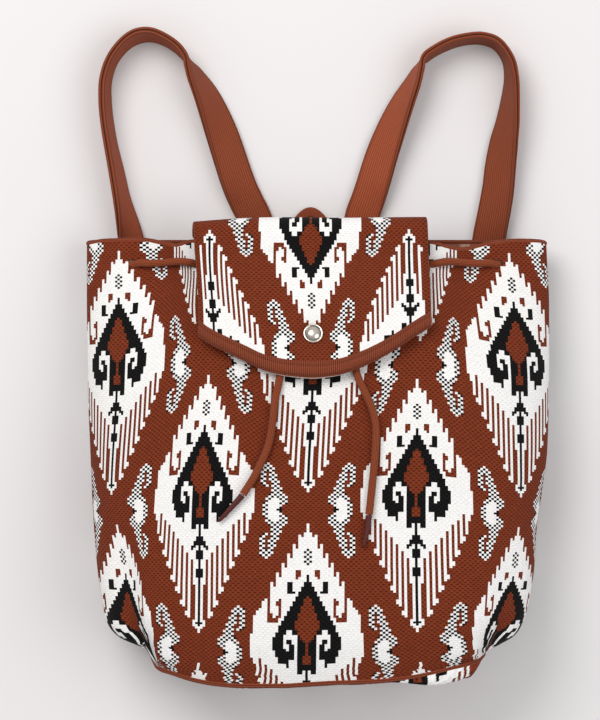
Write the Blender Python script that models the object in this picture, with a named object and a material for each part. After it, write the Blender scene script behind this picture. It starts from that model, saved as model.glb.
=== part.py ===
"""Knitted drawstring shoulder bag (rucksack shape) with a snap-down flap and two webbing straps.

The bag lies on its back: +X across the bag, +Y from the base to the strap loops,
+Z away from the surface it lies on.  Lengths are written in millimetres and
turned into metres when the meshes are made.
"""
import bpy
import math
import numpy as np
from mathutils import Vector

# ---------------------------------------------------------------- driving dimensions (mm)
SHIFT_X = 0.59             # centring of the whole bag on the frame
SHIFT_Y = 1.42
GAP = 0.3                  # space kept between touching pieces

WALL = 3.0                 # knit thickness of the bag body
HEM = 0.7                  # extra thickness of the rolled hem round the mouth
MOUTH_Y = 80.5             # rear rim of the mouth
CROWN_X = -2.0             # where the stuffed body is highest

# side outlines of the stuffed body: (distance from mouth along the side, half width left, right)
SIDE_Y0, SIDE_Y1 = 80.0, -208.0
SIDE_TABLE = [(80, 165.0, 162.7), (65, 165.0, 163.3), (38, 164.9, 164.5), (2, 164.1, 164.3),
              (-33, 163.3, 163.6), (-68, 161.7, 162.3), (-97, 160.4, 158.5), (-128, 158.5, 154.2),
              (-151, 156.3, 152.8), (-175, 151.5, 148.6), (-188, 147.6, 143.7), (-196, 142.0, 138.6),
              (-201, 135.0, 132.5), (-205, 126.5, 125.5), (-208, 118.5, 117.5)]
# height of the front panel on the centre line: (y, z)
CROWN_TABLE = [(80, 50), (65, 56), (38, 70), (2, 84), (-32, 94), (-67, 100), (-105, 104),
               (-136, 106), (-171, 107), (-199, 106), (-218, 102), (-229, 98)]
SIDE_Z = [(0.0, 28), (0.14, 31), (0.26, 36), (0.38, 41), (0.5, 45), (0.7, 49), (1.0, 51)]
BACK_Z = [(0.0, 9.5), (0.06, 7.0), (0.14, 5.2), (0.22, 4.9), (1.0, 4.9)]
ROUND_FRONT = [(0.0, 2.0), (0.6, 2.05), (0.8, 2.4), (0.92, 3.4), (1.0, 5.0)]
ROUND_BACK = [(0.0, 3.2), (0.15, 4.2), (1.0, 5.0)]

# front rim of the mouth and front edge of the base: (x, y)
RIM_TABLE = [(-165, 77.6), (-152, 80.9), (-126, 81.4), (-109, 78.5), (-101, 77.0), (-90, 79.8),
             (-48, 81.5), (0, 81.5), (44, 81.0), (79, 79.1), (93, 75.6), (102, 74.2), (122, 78.5),
             (144, 80.9), (158, 80.3), (165, 76.2)]
BASE_TABLE = [(-119, -209.0), (-113, -218.5), (-103, -221.4), (-86, -226.3), (-71, -228.8), (-55, -230.0),
              (-27, -230.0), (-11, -229.2), (8, -228.0), (41, -226.8), (58, -225.1), (75, -222.3),
              (94, -218.0), (105, -215.7), (111, -213.7), (119, -209.0)]
BASE_THICK = 3.0
BASE_BULGE = 3.0           # the base panel swells outward this much in the middle

# flap
HINGE_Y, HINGE_Z = 84.0, 6.3           # sewn line where the flap turns
FLAP_THICK = 2.2
LINING_THICK = 0.9
BAND_THICK = 2.8
BAND_TALL = 10.0
FLAP_RISE = 6.3                        # space under the flap for the cord
SNAP_RISE = 4.7                        # space at the snap
FLAP_FOLD = [(81.7, 6.3), (82.8, 12), (84.6, 18), (87.2, 26), (90.0, 34), (92.2, 42), (93.2, 48),
             (92.6, 53.5), (89.5, 57.6), (84.0, 60.0), (77.0, 61.6), (70.0, 62.6)]
FLAP_EDGE = [(-83, 11.5), (-76, 6.6), (-62, -0.4), (-51, -5.7), (-37, -12.1), (-21, -15.5), (-4, -16.7),
             (13, -15.0), (28, -10.3), (42, -3.9), (54, 3.1), (65, 10.4), (75, 16.5), (78, 18.0)]

# snap fastener
SNAP_X, SNAP_Y = -3.7, 11.2
SNAP_R = 7.0

# straps: edge pairs (x, y of the edge that stays low, x, y of the other edge)
STRAP_WIDE, STRAP_THICK = 25.0, 4.6
LEFT_STRAP = [(-23.5, 56, -48.5, 56), (-27.5, 77, -52, 73.5), (-33.5, 99.5, -57.6, 94.5), (-40, 113, -63.6, 107),
              (-47.1, 129, -69, 120.2), (-59, 162, -78.9, 152.8), (-70.9, 188, -85.8, 178), (-82.5, 204.1, -91.6, 196.3),
              (-88.8, 208.8, -93.6, 205.4), (-95, 211.3, -95.4, 213.6), (-101.5, 214.2, -101.3, 221.4),
              (-108.5, 219.3, -110.6, 227.6), (-118.8, 222.4, -121, 231.4), (-128, 221.0, -131.8, 230.0),
              (-137, 215.8, -141.6, 222.6), (-144, 207, -150, 210.6), (-147.6, 194, -154.4, 196.3),
              (-147.4, 180, -155, 181), (-146, 165, -153.8, 166.3), (-143.5, 149, -151.4, 150.3), (-139.3, 130, -148.3, 131.8),
              (-134.5, 108, -145, 109.8), (-126.5, 82, -143, 84), (-121.5, 62, -144, 64), (-117.5, 40, -142.3, 42),
              (-114, 0, -139, 1), (-108, -80, -133, -79), (-102, -150, -127, -149), (-99, -190, -124, -189)]
RIGHT_STRAP = [(13, 56, 38, 56), (15.5, 77, 40, 74), (19.4, 100.4, 43.5, 95.4), (23.5, 112, 47, 106),
               (27.6, 123, 49.7, 115), (35.8, 146.9, 56.1, 139), (45.4, 167.8, 62.1, 160), (53.6, 184.4, 67.0, 176.8),
               (61.8, 198.1, 71.2, 190.9), (68.3, 205.6, 73.6, 202.0), (76.3, 209.6, 76.0, 212.6), (84.9, 211.8, 82.6, 218.2),
               (96.5, 217.2, 94.2, 224.2), (107.5, 220.4, 106.6, 227.2), (118.5, 220.6, 118.2, 227.8),
               (127.5, 216.8, 129.3, 223.6), (132.8, 208.6, 138.3, 211.4), (134, 196, 141.6, 198), (132.3, 181, 142.6, 183),
               (129, 164, 142.8, 167), (124.6, 149.5, 142.1, 153), (121, 133, 140.9, 136), (119, 118, 139.8, 120.5),
               (116, 103, 138, 105), (111, 80, 134.5, 82.5), (108.5, 60, 133.3, 62), (107, 40, 132, 41),
               (106, 0, 131, 1), (102, -80, 127, -79), (97, -150, 122, -149), (94, -190, 119, -189)]

# drawstring
CORD_R = 2.65
CORD_Y = 63.8
HOLES_LEFT = (-132.0, -84.6, -29.2)
HOLES_RIGHT = (126.6, 79.7, 22.3)
LEFT_END = [(-29.8, 53.6), (-29.6, 44), (-28.4, 30), (-27.2, 5), (-26.9, -16), (-30.2, -33), (-31.8, -47), (-34.2, -62),
            (-38.7, -74), (-44.9, -86.5), (-52.3, -98.3)]
RIGHT_END = [(22.9, 53.6), (23.1, 44), (24, 25), (25.3, 0), (26.6, -15), (33.3, -30), (37.4, -40), (39.6, -50.5),
             (39.5, -63), (38.2, -79.6), (36.5, -96.3), (34.8, -112)]
LEFT_TIP = [(-52.9, -99.2), (-61.0, -108.2), (-69.2, -117.1)]
RIGHT_TIP = [(34.6, -113.4), (33.0, -124.0), (30.6, -134.5)]
TIP_R = (2.2, 1.9, 1.1)

# hanging loop
LOOP_X, LOOP_R, LOOP_TOP = -5.4, 11.4, 90.6
TAPE_WIDE, TAPE_THICK = 7.0, 2.8


# ---------------------------------------------------------------- small helpers
def curve_through(table, x):
    """Smooth monotone curve through (x, y) pairs."""
    t = sorted(table)
    xs = np.array([p[0] for p in t], float)
    ys = np.array([p[1] for p in t], float)
    x = np.clip(np.asarray(x, float), xs[0], xs[-1])
    h = np.diff(xs)
    d = np.diff(ys) / h
    m = np.zeros_like(xs)
    for i in range(1, len(xs) - 1):
        if d[i - 1] * d[i] > 0:
            w1, w2 = 2 * h[i] + h[i - 1], h[i] + 2 * h[i - 1]
            m[i] = (w1 + w2) / (w1 / d[i - 1] + w2 / d[i])
    m[0], m[-1] = d[0], d[-1]
    k = np.clip(np.searchsorted(xs, x, side="right") - 1, 0, len(h) - 1)
    s = (x - xs[k]) / h[k]
    return ((2 * s ** 3 - 3 * s ** 2 + 1) * ys[k] + (s ** 3 - 2 * s ** 2 + s) * h[k] * m[k]
            + (-2 * s ** 3 + 3 * s ** 2) * ys[k + 1] + (s ** 3 - s ** 2) * h[k] * m[k + 1])


def smooth(t):
    t = np.clip(t, 0.0, 1.0)
    return t * t * (3 - 2 * t)


def spline(points, per=6):
    """Centripetal-like smooth run through control points, `per` steps a span."""
    p = np.array(points, float)
    p = np.vstack([2 * p[0] - p[1], p, 2 * p[-1] - p[-2]])
    out = []
    for i in range(1, len(p) - 2):
        for k in range(per):
            t = k / per
            a, b, c, d = p[i - 1], p[i], p[i + 1], p[i + 2]
            out.append(0.5 * (2 * b + (c - a) * t + (2 * a - 5 * b + 4 * c - d) * t * t
                              + (3 * b - a - 3 * c + d) * t ** 3))
    out.append(p[-2])
    return np.array(out)


def even_steps(pts, step):
    """The same run with evenly spaced points."""
    seg = np.linalg.norm(np.diff(pts, axis=0), axis=1)
    s = np.concatenate([[0], np.cumsum(seg)])
    n = max(2, int(round(s[-1] / step)) + 1)
    t = np.linspace(0, s[-1], n)
    return np.stack([np.interp(t, s, pts[:, k]) for k in range(3)], axis=1)


def side_shape(y):
    left = curve_through([(p[0], p[1]) for p in SIDE_TABLE], y)
    right = curve_through([(p[0], p[2]) for p in SIDE_TABLE], y)
    return left, right


def rim_y(x):
    return curve_through(RIM_TABLE, x)


def base_y(x):
    return curve_through(BASE_TABLE, x)


def section_values(v):
    """Half widths, heights and roundness of the body's cross-section at v (0 mouth, 1 base)."""
    left, right = side_shape(SIDE_Y0 + (SIDE_Y1 - SIDE_Y0) * v)
    top = curve_through(CROWN_TABLE, 80 + (-229 - 80) * v)
    mid = curve_through(SIDE_Z, v)
    low = curve_through(BACK_Z, v)
    return left + CROWN_X, right - CROWN_X, top, mid, low, curve_through(ROUND_FRONT, v), curve_through(ROUND_BACK, v)


def front_z(x, y):
    """Height of the front panel's outer face over the point (x, y)."""
    v = float(np.clip((rim_y(x) - y) / (rim_y(x) - base_y(x)), 0, 1))
    a_l, a_r, top, mid, low, n, _ = section_values(v)
    a = a_l if x < CROWN_X else a_r
    r = min(1.0, abs(x - CROWN_X) / a)
    return float(mid + (top - mid) * (1 - r ** n) ** (1 / n))


def front_point(x, y, off=0.0):
    """Point on the front panel lifted by `off` along its normal."""
    e = 0.5
    z = front_z(x, y)
    n = np.array([-(front_z(x + e, y) - front_z(x - e, y)) / (2 * e),
                  -(front_z(x, y + e) - front_z(x, y - e)) / (2 * e), 1.0])
    n /= np.linalg.norm(n)
    return np.array([x, y, z]) + off * n, n


def section_loop(v, count):
    """Evenly spaced outline of the body in x and z at v, from front centre over +x and back."""
    a_l, a_r, top, mid, low, nf, nb = [float(q) for q in section_values(v)]
    t = np.linspace(0, np.pi / 2, 400)
    c, s = np.cos(t), np.sin(t)

    def quarter(a, b, n):
        return a * s ** (2 / n), b * c ** (2 / n)
    fx, fz = quarter(a_r, top - mid, nf)
    bx, bz = quarter(a_r, mid - low, nb)
    gx, gz = quarter(a_l, top - mid, nf)
    hx, hz = quarter(a_l, mid - low, nb)
    x = np.concatenate([fx, bx[::-1][1:], -hx[1:], -gx[::-1][1:]]) + CROWN_X
    z = np.concatenate([mid + fz, mid - bz[::-1][1:], mid - hz[1:], mid + gz[::-1][1:]])
    seg = np.hypot(np.diff(x), np.diff(z))
    d = np.concatenate([[0], np.cumsum(seg)])
    u = np.linspace(0, d[-1], count, endpoint=False)
    xs, zs = np.interp(u, d, x), np.interp(u, d, z)
    e = 0.8
    tx = np.interp((u + e) % d[-1], d, x) - np.interp((u - e) % d[-1], d, x)
    tz = np.interp((u + e) % d[-1], d, z) - np.interp((u - e) % d[-1], d, z)
    ln = np.hypot(tx, tz)
    return np.stack([xs, zs], 1), np.stack([-tz / ln, tx / ln], 1)


def station_y(v, x, front):
    """y of the point at x on station v; `front` is 1 on the front half and 0 on the back."""
    top = front * rim_y(x) + (1 - front) * MOUTH_Y
    return top + (base_y(x) - top) * v


def face_outward(verts, faces):
    """Turn all faces round when the solid's signed volume is negative."""
    v = np.asarray(verts, float)
    vol = 0.0
    for f in faces:
        for k in range(1, len(f) - 1):
            vol += np.dot(v[f[0]], np.cross(v[f[k]], v[f[k + 1]]))
    return [tuple(reversed(f)) for f in faces] if vol < 0 else faces


def collection_add(name, mesh):
    ob = bpy.data.objects.new(name, mesh)
    bpy.context.scene.collection.objects.link(ob)
    return ob


def mesh_object(name, verts, faces, material, smooth_angle=40, origin=None):
    """Mesh in metres with its object origin at `origin` (mm)."""
    org = np.array(origin if origin is not None else (0.0, 0.0, 0.0), float)
    sh = np.array([SHIFT_X, SHIFT_Y, 0.0]) if origin is None else np.zeros(3)
    v = (np.asarray(verts, float) + sh - (org if origin is None else org - np.array([SHIFT_X, SHIFT_Y, 0.0]))) * 0.001
    me = bpy.data.meshes.new(name)
    me.from_pydata([tuple(p) for p in v], [], face_outward(v, [tuple(f) for f in faces]))
    me.validate()
    me.update()
    ob = collection_add(name, me)
    ob.location = Vector(org * 0.001)
    if material is not None:
        me.materials.append(material)
    me.shade_smooth()
    me.set_sharp_from_angle(angle=math.radians(smooth_angle))
    return ob


def make_material(name, color, rough, metal=0.0):
    m = bpy.data.materials.new(name)
    m.use_nodes = True
    b = m.node_tree.nodes["Principled BSDF"]
    b.inputs["Base Color"].default_value = (*color, 1.0)
    b.inputs["Roughness"].default_value = rough
    b.inputs["Metallic"].default_value = metal
    m.diffuse_color = (*color, 1.0)
    return m


def tube_mesh(pts, radii, sides=10):
    """Closed tube with flat ends along a run of points."""
    p = np.array(pts, float)
    r = np.full(len(p), radii, float) if np.isscalar(radii) else np.array(radii, float)
    t = np.gradient(p, axis=0)
    t /= np.linalg.norm(t, axis=1)[:, None]
    up = np.array([0.0, 0.0, 1.0]) if abs(t[0][2]) < 0.9 else np.array([1.0, 0.0, 0.0])
    a = np.cross(t[0], up)
    a /= np.linalg.norm(a)
    verts, faces = [], []
    for i in range(len(p)):
        a = a - t[i] * np.dot(a, t[i])
        a /= np.linalg.norm(a)
        b = np.cross(t[i], a)
        for k in range(sides):
            w = 2 * math.pi * k / sides
            verts.append(p[i] + r[i] * (math.cos(w) * a + math.sin(w) * b))
    n = len(p)
    for i in range(n - 1):
        for k in range(sides):
            k2 = (k + 1) % sides
            faces.append((i * sides + k, i * sides + k2, (i + 1) * sides + k2, (i + 1) * sides + k))
    faces.append(tuple(range(sides - 1, -1, -1)))
    faces.append(tuple((n - 1) * sides + k for k in range(sides)))
    return np.array(verts), faces


def slab_mesh(low, high):
    """Closed sheet between two grids of the same size (rows x columns x 3)."""
    rows, cols = low.shape[:2]
    verts = np.concatenate([low.reshape(-1, 3), high.reshape(-1, 3)])
    n = rows * cols
    faces = []

    def q(r, c):
        return r * cols + c
    for r in range(rows - 1):
        for c in range(cols - 1):
            faces.append((q(r, c), q(r + 1, c), q(r + 1, c + 1), q(r, c + 1)))
            faces.append((n + q(r, c), n + q(r, c + 1), n + q(r + 1, c + 1), n + q(r + 1, c)))
    for c in range(cols - 1):
        faces.append((q(0, c), q(0, c + 1), n + q(0, c + 1), n + q(0, c)))
        faces.append((q(rows - 1, c + 1), q(rows - 1, c), n + q(rows - 1, c), n + q(rows - 1, c + 1)))
    for r in range(rows - 1):
        faces.append((q(r + 1, 0), q(r, 0), n + q(r, 0), n + q(r + 1, 0)))
        faces.append((q(r, cols - 1), q(r + 1, cols - 1), n + q(r + 1, cols - 1), n + q(r, cols - 1)))
    return verts, faces


def turned_mesh(profile, centre, axis, sides=20):
    """Closed turned solid; the profile is (radius, height) from bottom axis to top axis."""
    n = np.array(axis, float)
    n /= np.linalg.norm(n)
    a = np.cross(n, [0.0, 1.0, 0.0])
    a /= np.linalg.norm(a)
    b = np.cross(n, a)
    verts, faces, rings = [], [], []
    for r, h in profile:
        if r < 1e-6:
            rings.append([len(verts)])
            verts.append(np.array(centre) + n * h)
        else:
            ring = []
            for k in range(sides):
                w = 2 * math.pi * k / sides
                ring.append(len(verts))
                verts.append(np.array(centre) + n * h + r * (math.cos(w) * a + math.sin(w) * b))
            rings.append(ring)
    for r0, r1 in zip(rings[:-1], rings[1:]):
        for k in range(sides):
            k2 = (k + 1) % sides
            if len(r0) == 1:
                faces.append((r0[0], r1[k2], r1[k]))
            elif len(r1) == 1:
                faces.append((r0[k], r0[k2], r1[0]))
            else:
                faces.append((r0[k], r0[k2], r1[k2], r1[k]))
    return np.array(verts), faces


def cutter(name, verts, faces):
    ob = mesh_object(name, verts, faces, None)
    ob.hide_render = True
    ob.display_type = 'WIRE'
    return ob


def cut(ob, tool):
    m = ob.modifiers.new("cut_" + tool.name, 'BOOLEAN')
    m.operation = 'DIFFERENCE'
    m.solver = 'EXACT'
    m.object = tool


# ---------------------------------------------------------------- start clean
for o in list(bpy.data.objects):
    bpy.data.objects.remove(o, do_unlink=True)

knit = make_material("knit_rust_pattern", (0.43, 0.15, 0.06), 0.9)
base_knit = make_material("knit_base", (0.40, 0.14, 0.06), 0.9)
flap_knit = make_material("knit_flap", (0.45, 0.16, 0.07), 0.9)
facing = make_material("facing_pale", (0.72, 0.62, 0.56), 0.92)
rib = make_material("rib_band", (0.40, 0.13, 0.05), 0.9)
webbing = make_material("webbing_rust", (0.42, 0.13, 0.05), 0.85)
cord_mat = make_material("cord_rust", (0.50, 0.16, 0.05), 0.85)
tip_mat = make_material("cord_tip_dark", (0.10, 0.025, 0.02), 0.5)
metal = make_material("snap_metal", (0.78, 0.74, 0.66), 0.25, 1.0)

# ---------------------------------------------------------------- body: one knitted tube, open at the mouth
COLS = 44
STATIONS = [0.0, 0.012, 0.04, 0.08, 0.15, 0.24, 0.34, 0.45, 0.57, 0.69, 0.79, 0.87,
            0.925, 0.96, 0.985, 1.0]
outer, inner = [], []
for v in STATIONS:
    loop, nrm = section_loop(v, COLS)
    a_l, a_r, top, mid, low, _, _ = [float(q) for q in section_values(v)]
    swell = HEM if v < 0.02 else 0.0
    po, pi = [], []
    for (x, z), (nx, nz) in zip(loop, nrm):
        front = float(smooth((z - low) / (top - low)))
        y = float(station_y(v, x, front))
        po.append((x + nx * swell, y, z + nz * swell))
        pi.append((x - nx * (WALL + swell * 0.5), y, z - nz * (WALL + swell * 0.5)))
    outer.append(po)
    inner.append(pi)
verts = [p for loop in outer for p in loop] + [p for loop in inner for p in loop]
faces = []
S, n_out = len(STATIONS), len(STATIONS) * COLS
for i in range(S - 1):
    for k in range(COLS):
        k2 = (k + 1) % COLS
        a, b, c, d = i * COLS + k, i * COLS + k2, (i + 1) * COLS + k2, (i + 1) * COLS + k
        faces.append((a, b, c, d))
        faces.append((n_out + d, n_out + c, n_out + b, n_out + a))
for k in range(COLS):
    k2 = (k + 1) % COLS
    faces.append((k2, k, n_out + k, n_out + k2))
    e = (S - 1) * COLS
    faces.append((e + k, e + k2, n_out + e + k2, n_out + e + k))
body = mesh_object("body_shell", verts, faces, knit, 50)

# ---------------------------------------------------------------- base panel sewn across the end
loop, nrm = section_loop(1.0, COLS)
cx, cz = float(loop[:, 0].mean()), float(loop[:, 1].mean())
RINGS = (1.0, 0.85, 0.55, 0.25)
face_in, face_out = [], []
for r in RINGS:
    for x, z in loop:
        px, pz = cx + (x - cx) * r, cz + (z - cz) * r
        y0 = float(base_y(px)) - GAP - BASE_BULGE * (1 - r * r)
        face_in.append((px, y0, pz))
        face_out.append((px, y0 - BASE_THICK, pz))
verts = face_in + face_out
n_in = len(face_in)
faces = []
for i in range(len(RINGS) - 1):
    for k in range(COLS):
        k2 = (k + 1) % COLS
        a, b, c, d = i * COLS + k, i * COLS + k2, (i + 1) * COLS + k2, (i + 1) * COLS + k
        faces.append((d, c, b, a))
        faces.append((n_in + a, n_in + b, n_in + c, n_in + d))
last = (len(RINGS) - 1) * COLS
verts += [(cx, float(base_y(cx)) - GAP - BASE_BULGE, cz), (cx, float(base_y(cx)) - GAP - BASE_BULGE - BASE_THICK, cz)]
ci, co = len(verts) - 2, len(verts) - 1
for k in range(COLS):
    k2 = (k + 1) % COLS
    faces.append((last + k, ci, last + k2))
    faces.append((n_in + last + k, n_in + last + k2, co))
    faces.append((k, k2, n_in + k2, n_in + k))
base = mesh_object("base_panel", verts, faces, base_knit, 50)

# ---------------------------------------------------------------- flap
FOLD_END_Y = FLAP_FOLD[-1][0]


def flap_side(t):
    """Left and right edges of the flap at t along it (0 hinge, 1 bottom corners)."""
    return -89.5 + 6.5 * smooth(t), 75.6 + 2.4 * smooth(t)


def flap_rise(x, y):
    d = math.hypot(x - SNAP_X, y - SNAP_Y)
    upright = front_point(x, y)[1][2]
    return (FLAP_RISE - (FLAP_RISE - SNAP_RISE) * math.exp(-(d / 14.5) ** 4)) / upright


fold_run = spline([(0.0, p[0], p[1]) for p in FLAP_FOLD], 8)
fold_len = np.concatenate([[0], np.cumsum(np.linalg.norm(np.diff(fold_run, axis=0), axis=1))])


def flap_under(a, s, tall):
    """Underside of the flap: a across (-1..1), s along: 0..1 the fold, 1..2 the front; tall ends it short."""
    t = min(s, 1.0) * 0.5 + max(0.0, s - 1.0) * 0.5
    xl, xr = flap_side(t)
    x = float(xl + (xr - xl) * (a + 1) / 2)
    if s <= 1.0:
        d = s * fold_len[-1]
        y = float(np.interp(d, fold_len, fold_run[:, 1]))
        z = float(np.interp(d, fold_len, fold_run[:, 2]))
        left = max(0.0, -a) ** 2
        y = HINGE_Y + (y - HINGE_Y) * (1 - 0.30 * left) if y > HINGE_Y else y
        f = float(smooth(s))
        goal = front_z(x, FOLD_END_Y) + flap_rise(x, FOLD_END_Y)
        return np.array([x, y, z + f * (goal - FLAP_FOLD[-1][1])])
    edge = float(curve_through(FLAP_EDGE, x)) + tall
    y = FOLD_END_Y + (edge - FOLD_END_Y) * (s - 1.0)
    return np.array([x, y, front_z(x, y) + flap_rise(x, y)])


def flap_grid(s0, s1, rows, cols, tall0, tall1, inset=0.0):
    """Grid of underside points and normals; rows run from s0 to s1, band heights tall0..tall1."""
    pts = np.zeros((rows, cols, 3))
    nrm = np.zeros((rows, cols, 3))
    for r in range(rows):
        f = r / (rows - 1)
        s = s0 + (s1 - s0) * f
        for c in range(cols):
            a = (-1 + 2 * c / (cols - 1)) * (1 - inset)
            tall = tall0 + (tall1 - tall0) * f
            e = 0.01
            p = flap_under(a, s, tall)
            da = flap_under(min(a + e, 1), s, tall) - flap_under(max(a - e, -1), s, tall)
            ds = flap_under(a, min(s + e, 2.0), tall) - flap_under(a, max(s - e, 0.0), tall)
            n = np.cross(ds, da)
            pts[r, c] = p
            nrm[r, c] = n / np.linalg.norm(n)
    return pts, nrm


hinge_empty = bpy.data.objects.new("flap_hinge", None)
bpy.context.scene.collection.objects.link(hinge_empty)
hinge_empty.location = (SHIFT_X * 0.001, (HINGE_Y + SHIFT_Y) * 0.001, HINGE_Z * 0.001)


def hang_on_hinge(ob):
    """Parent a flap piece to the hinge and keep it where it is."""
    ob.parent = hinge_empty
    ob.location = (-hinge_empty.location[0], -hinge_empty.location[1], -hinge_empty.location[2])


ROWS = 22
pts, nrm = flap_grid(0.0, 2.0, ROWS, 15, BAND_TALL, BAND_TALL)
lift = LINING_THICK + GAP
v, f = slab_mesh(pts + nrm * lift, pts + nrm * (lift + FLAP_THICK))
flap = mesh_object("flap_outer", v, f, flap_knit, 50)
hang_on_hinge(flap)

pts, nrm = flap_grid(0.06, 2.0, ROWS - 2, 15, -0.9, -0.9, 0.012)
v, f = slab_mesh(pts, pts + nrm * LINING_THICK)
lining = mesh_object("flap_lining", v, f, facing, 50)
hang_on_hinge(lining)

# ribbed band along the flap's lower edge
BAND_COLS = 25
band_low, band_high = np.zeros((3, BAND_COLS, 3)), np.zeros((3, BAND_COLS, 3))
for r in range(3):
    tall = BAND_TALL - GAP * 1.2 - (BAND_TALL - GAP * 1.2) * r / 2.0
    for c in range(BAND_COLS):
        a = -1 + 2 * c / (BAND_COLS - 1)
        e = 0.01
        p = flap_under(a, 2.0, tall)
        da = flap_under(min(a + e, 1), 2.0, tall) - flap_under(max(a - e, -1), 2.0, tall)
        ds = flap_under(a, 2.0, tall - 0.5) - flap_under(a, 2.0, tall + 0.5)
        n = np.cross(ds, da)
        n /= np.linalg.norm(n)
        band_low[r, c] = p + n * lift
        band_high[r, c] = p + n * (lift + BAND_THICK)
v, f = slab_mesh(band_low, band_high)
band = mesh_object("flap_binding", v, f, rib, 50)
hang_on_hinge(band)

# ---------------------------------------------------------------- straps
def strap_mesh(pairs, per=2):
    run = spline([(a, b, 0, c, d, 0) for a, b, c, d in pairs], per)
    low, high = run[:, 0:3].copy(), run[:, 3:6].copy()
    span = np.hypot(high[:, 0] - low[:, 0], high[:, 1] - low[:, 1])
    flat = np.clip(span / STRAP_WIDE, 0, 1)
    y_mid = (low[:, 1] + high[:, 1]) / 2
    rise = np.sqrt(np.maximum(0, STRAP_WIDE ** 2 - span ** 2))
    upper = np.arange(len(run)) < len(run) * 0.3
    rise = rise * np.where(upper, smooth((y_mid - 96.0) / 32.0), smooth((y_mid - 45.0) / 75.0))
    mid = (low + high) / 2
    along = np.gradient(mid, axis=0)
    low[:, 2] = STRAP_THICK / 2 * flat
    high[:, 2] = low[:, 2] + rise
    mid = (low + high) / 2
    along = np.gradient(mid, axis=0)
    along /= np.linalg.norm(along, axis=1)[:, None]
    wide = high - low
    wide -= along * np.sum(wide * along, axis=1)[:, None]
    wide_n = wide / np.linalg.norm(wide, axis=1)[:, None]
    nrm = np.cross(along, wide_n)
    h = STRAP_THICK / 2
    r = 0.9
    verts, faces, K = [], [], 8
    for i in range(len(run)):
        half = np.linalg.norm(high[i] - low[i]) / 2
        for du, dn in ((-half, -h + r), (-half + r, -h), (half - r, -h), (half, -h + r),
                       (half, h - r), (half - r, h), (-half + r, h), (-half, h - r)):
            verts.append(mid[i] + wide_n[i] * du + nrm[i] * dn)
    for i in range(len(run) - 1):
        for k in range(K):
            k2 = (k + 1) % K
            faces.append((i * K + k, (i + 1) * K + k, (i + 1) * K + k2, i * K + k2))
    faces.append(tuple(range(K)))
    faces.append(tuple((len(run) - 1) * K + k for k in range(K - 1, -1, -1)))
    verts = np.array(verts)
    verts[:, 2] = np.maximum(verts[:, 2], 0.0)
    return verts, faces


for name, pairs in (("strap_left", LEFT_STRAP), ("strap_right", RIGHT_STRAP)):
    v, f = strap_mesh(pairs)
    mesh_object(name, v, f, webbing, 50)

# ---------------------------------------------------------------- hanging loop, a flat tape behind the flap
steps = [(LOOP_X - LOOP_R, 60.0), (LOOP_X - LOOP_R, 74.0)]
steps += [(LOOP_X - LOOP_R * math.cos(w), LOOP_TOP + LOOP_R * math.sin(w)) for w in np.linspace(0, math.pi, 13)]
steps += [(LOOP_X + LOOP_R, 74.0), (LOOP_X + LOOP_R, 60.0)]
p = np.array([(x, y, 2.1) for x, y in steps])
t = np.gradient(p, axis=0)
t /= np.linalg.norm(t, axis=1)[:, None]
w = np.stack([-t[:, 1], t[:, 0], t[:, 2]], 1)
low = np.stack([p - w * TAPE_WIDE / 2, p + w * TAPE_WIDE / 2], 1)
high = low.copy()
low[:, :, 2] -= TAPE_THICK / 2
high[:, :, 2] += TAPE_THICK / 2
v, f = slab_mesh(low, high)
mesh_object("hanging_loop", v, f, rib, 50)

# ---------------------------------------------------------------- drawstring
OUT = CORD_R + GAP
IN = -(WALL + CORD_R + GAP)


def held_side(holes, sign):
    """Cord run on one side, from its start below the innermost hole to the turn at the side."""
    xo, xm, xi = holes
    run = []
    for dx, y, off in ((0.6, 54.6, OUT + 0.1), (0.6, 57.0, OUT - 0.1), (0.3, 59.8, 0.9), (0.8, 62.2, -2.6),
                       (3.4, 63.6, -5.4), (7.4, CORD_Y, IN - 0.2), (12.0, CORD_Y, IN - 0.2)):
        run.append(front_point(xi + sign * dx, y, off)[0])
    for x in np.arange(17.0, abs(xm - xi) - 8.0, 6.0):
        run.append(front_point(xi + sign * x, CORD_Y, IN - 0.2)[0])
    for f in np.linspace(-7.5, 7.5, 7):
        off = IN + (OUT - IN) * float(smooth((f + 7.5) / 15.0))
        run.append(front_point(xm + sign * f, CORD_Y, off)[0])
    for x in np.arange(12.5, abs(xo - xm) - 9.0, 6.0):
        run.append(front_point(xm + sign * x, CORD_Y, OUT)[0])
    for f in np.linspace(-7.5, 7.5, 7):
        off = OUT + (IN - OUT) * float(smooth((f + 7.5) / 15.0))
        run.append(front_point(xo + sign * f, CORD_Y, off)[0])
    x_end, _, z_end = run[-1]
    x_far = sign * 148.5
    run += [np.array([x_far - sign * 2.6, CORD_Y, z_end - 5.5]), np.array([x_far, CORD_Y, z_end - 10.5]),
            np.array([x_far - sign * 0.4, CORD_Y, 25.0]), np.array([x_far - sign * 4.5, CORD_Y, 19.0]),
            np.array([x_far - sign * 11.0, CORD_Y, 15.6])]
    return run


left_run = held_side(HOLES_LEFT, -1)
right_run = held_side(HOLES_RIGHT, 1)
back_run = [np.array([x, CORD_Y, 14.8]) for x in np.linspace(-126, 126, 14)]
held = np.array(left_run + back_run + right_run[::-1])
held = even_steps(spline(held, 4), 5.2)
v, f = tube_mesh(held, CORD_R, 8)
mesh_object("drawstring", v, f, cord_mat, 60)
v, f = tube_mesh(held, CORD_R + 0.4, 8)
hole_cutter = cutter("cord_hole_cutter", v, f)
cut(body, hole_cutter)


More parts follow.
